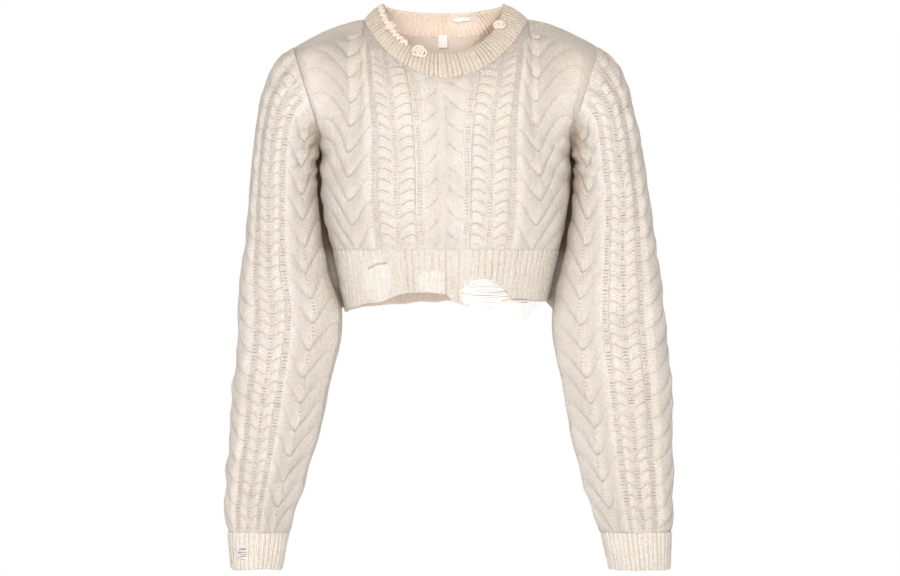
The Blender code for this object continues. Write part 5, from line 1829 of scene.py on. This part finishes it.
# Every random draw of the loose yarn comes from here, in this order.
chance = np.random.default_rng(7)
hem_loops = loose_loops(HEM_STRIP, HEM_LOOPS, hem_line)
cuff_loops = loose_loops(CUFF_STRIP, CUFF_LOOPS, cuff_line)
loose = {
    "hem_yarn": threads("hem_loose_yarn", hem_loops, pale_yarn),
    "cuff_yarn": threads("cuff_loose_yarn", cuff_loops, pale_yarn),
}
for number, roll in enumerate(NECK_ROLLS, 1):
    coil = neck_roll_paths(roll)
    loose[f"neck_roll_{number}"] = yarns(f"neck_yarn_roll_{number}", coil, cream_yarn, ROLL_YARN)
frills = [path for roll in NECK_ROLLS for path in neck_frill_paths(roll)]
pulled = [path for angles in PULLED_ANGLES for path in pulled_stitch_paths(angles)]
across_hem = let_down_threads(HEM_FLOATS, hem_wall, HEM_THREADS, HEM_SAG)
across_cuff = let_down_threads(CUFF_TEAR, cuff_wall, CUFF_RUNGS, CUFF_SAG, spill=1.0)
frills += frayed_edge_paths()
ruffle = [ruffle_path()]
extra_threads = [
    threads("hem_let_down_threads", across_hem, pale_yarn, HEM_THREAD),
    threads("cuff_let_down_threads", across_cuff, pale_yarn, CUFF_THREAD),
    threads("neck_frills", frills, cream_yarn, FRILL_THREAD),
    threads("neck_pulled_stitches", pulled, cream_yarn, PULLED_THREAD),
    yarns("neck_ruffle", ruffle, cream_yarn, RUFFLE_YARN),
]
label = {"neck_label": neck_tape(tape_finish())}

for slot_name, made in (
    ("cable_knit", cabled),
    ("rib_knit", ribbed),
    ("loose_yarn", loose),
    ("label", label),
):
    for node, piece in made.items():
        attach(piece, "root")
        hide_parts(node)

for piece in extra_threads:
    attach(piece, "root")

# Camera, lights and floor

FOCAL_LENGTH = 203.4
CAMERA_PLACE = (0.0047, -6.0, -0.3056)
lens = bpy.data.cameras.new("camera")
lens.lens = FOCAL_LENGTH
lens.clip_end = 60.0
camera = add_object("camera", lens)
camera.location = CAMERA_PLACE
camera.rotation_euler = (math.radians(90.0), 0.0, 0.0)
bpy.context.scene.camera = camera

# Square lights that point at the chest: place, size and power
CHEST = np.array([0.0, 0.0, -0.3])
SOFTBOXES = {
    "front_softbox": ((-0.4, -4.2, 0.3), 2.4, 197.0),
    "low_softbox": ((0.7, -3.9, -1.5), 1.8, 61.0),
    "left_softbox": ((-3.2, -1.2, 0.2), 2.0, 14.0),
    "right_softbox": ((3.2, -1.2, 0.2), 2.0, 18.0),
    "back_softbox": ((0.0, 3.6, 1.2), 2.4, 105.0),
}
for name, (location, size, power) in SOFTBOXES.items():
    light = bpy.data.lights.new(name, "AREA")
    light.size = size
    light.energy = power
    softbox = add_object(name, light)
    softbox.location = location
    away = np.array(location) - CHEST
    tilt = math.acos(away[2] / np.linalg.norm(away))
    softbox.rotation_euler = (tilt, 0.0, math.atan2(away[1], away[0]) + math.pi / 2)

world = bpy.data.worlds.new("studio")
bpy.context.scene.world = world
world.use_nodes = True
sky = world.node_tree
sky.nodes.clear()
seen = output(sky, "ShaderNodeLightPath", socket="Is Camera Ray")
soft_light = {"Color": (1.0, 0.97, 0.93, 1.0), "Strength": 0.5}
soft_light = output(sky, "ShaderNodeBackground", soft_light)
white_back = output(sky, "ShaderNodeBackground", {"Color": WHITE, "Strength": 1.0})
either = output(sky, "ShaderNodeMixShader", {0: seen, 1: soft_light, 2: white_back})
place(sky, "ShaderNodeOutputWorld", {"Surface": either})
bpy.context.scene.view_settings.view_transform = "Standard"

FLOOR_Z = -0.72
FLOOR_RADIUS = 1.55
spin = np.linspace(0.0, 2 * math.pi, 96, endpoint=False)
rim = np.stack([FLOOR_RADIUS * np.cos(spin), FLOOR_RADIUS * np.sin(spin), 0.0 * spin], axis=-1)
floor_mesh = bpy.data.meshes.new("floor")
floor_mesh.from_pydata(rim.tolist(), [], [list(range(len(spin)))])
floor = add_object("floor", floor_mesh)
floor.location = (0.0, 0.0, FLOOR_Z)
floor_mesh.materials.append(floor_finish())

sheets = {
    "front": ((0.394, 0.272), 0.092),
    "back": ((0.394, 0.272), 0.097),
    "sleeve_right": ((0.385, 0.590), 0.185),
    "sleeve_left": ((0.385, 0.590), 0.190),
    "neckband_front": ((0.245, 0.036), None),
    "neckband_back": ((0.210, 0.036), None),
    "hem_front": ((0.345, 0.066), None),
    "hem_back": ((0.335, 0.066), None),
    "cuff_right_front": ((0.105, 0.045), None),
    "cuff_right_back": ((0.105, 0.045), None),
    "cuff_left_front": ((0.115, 0.045), None),
    "cuff_left_back": ((0.115, 0.045), None),
}
for node, (flat, area) in sheets.items():
    piece = cabled[node] if node in cabled else ribbed[node]
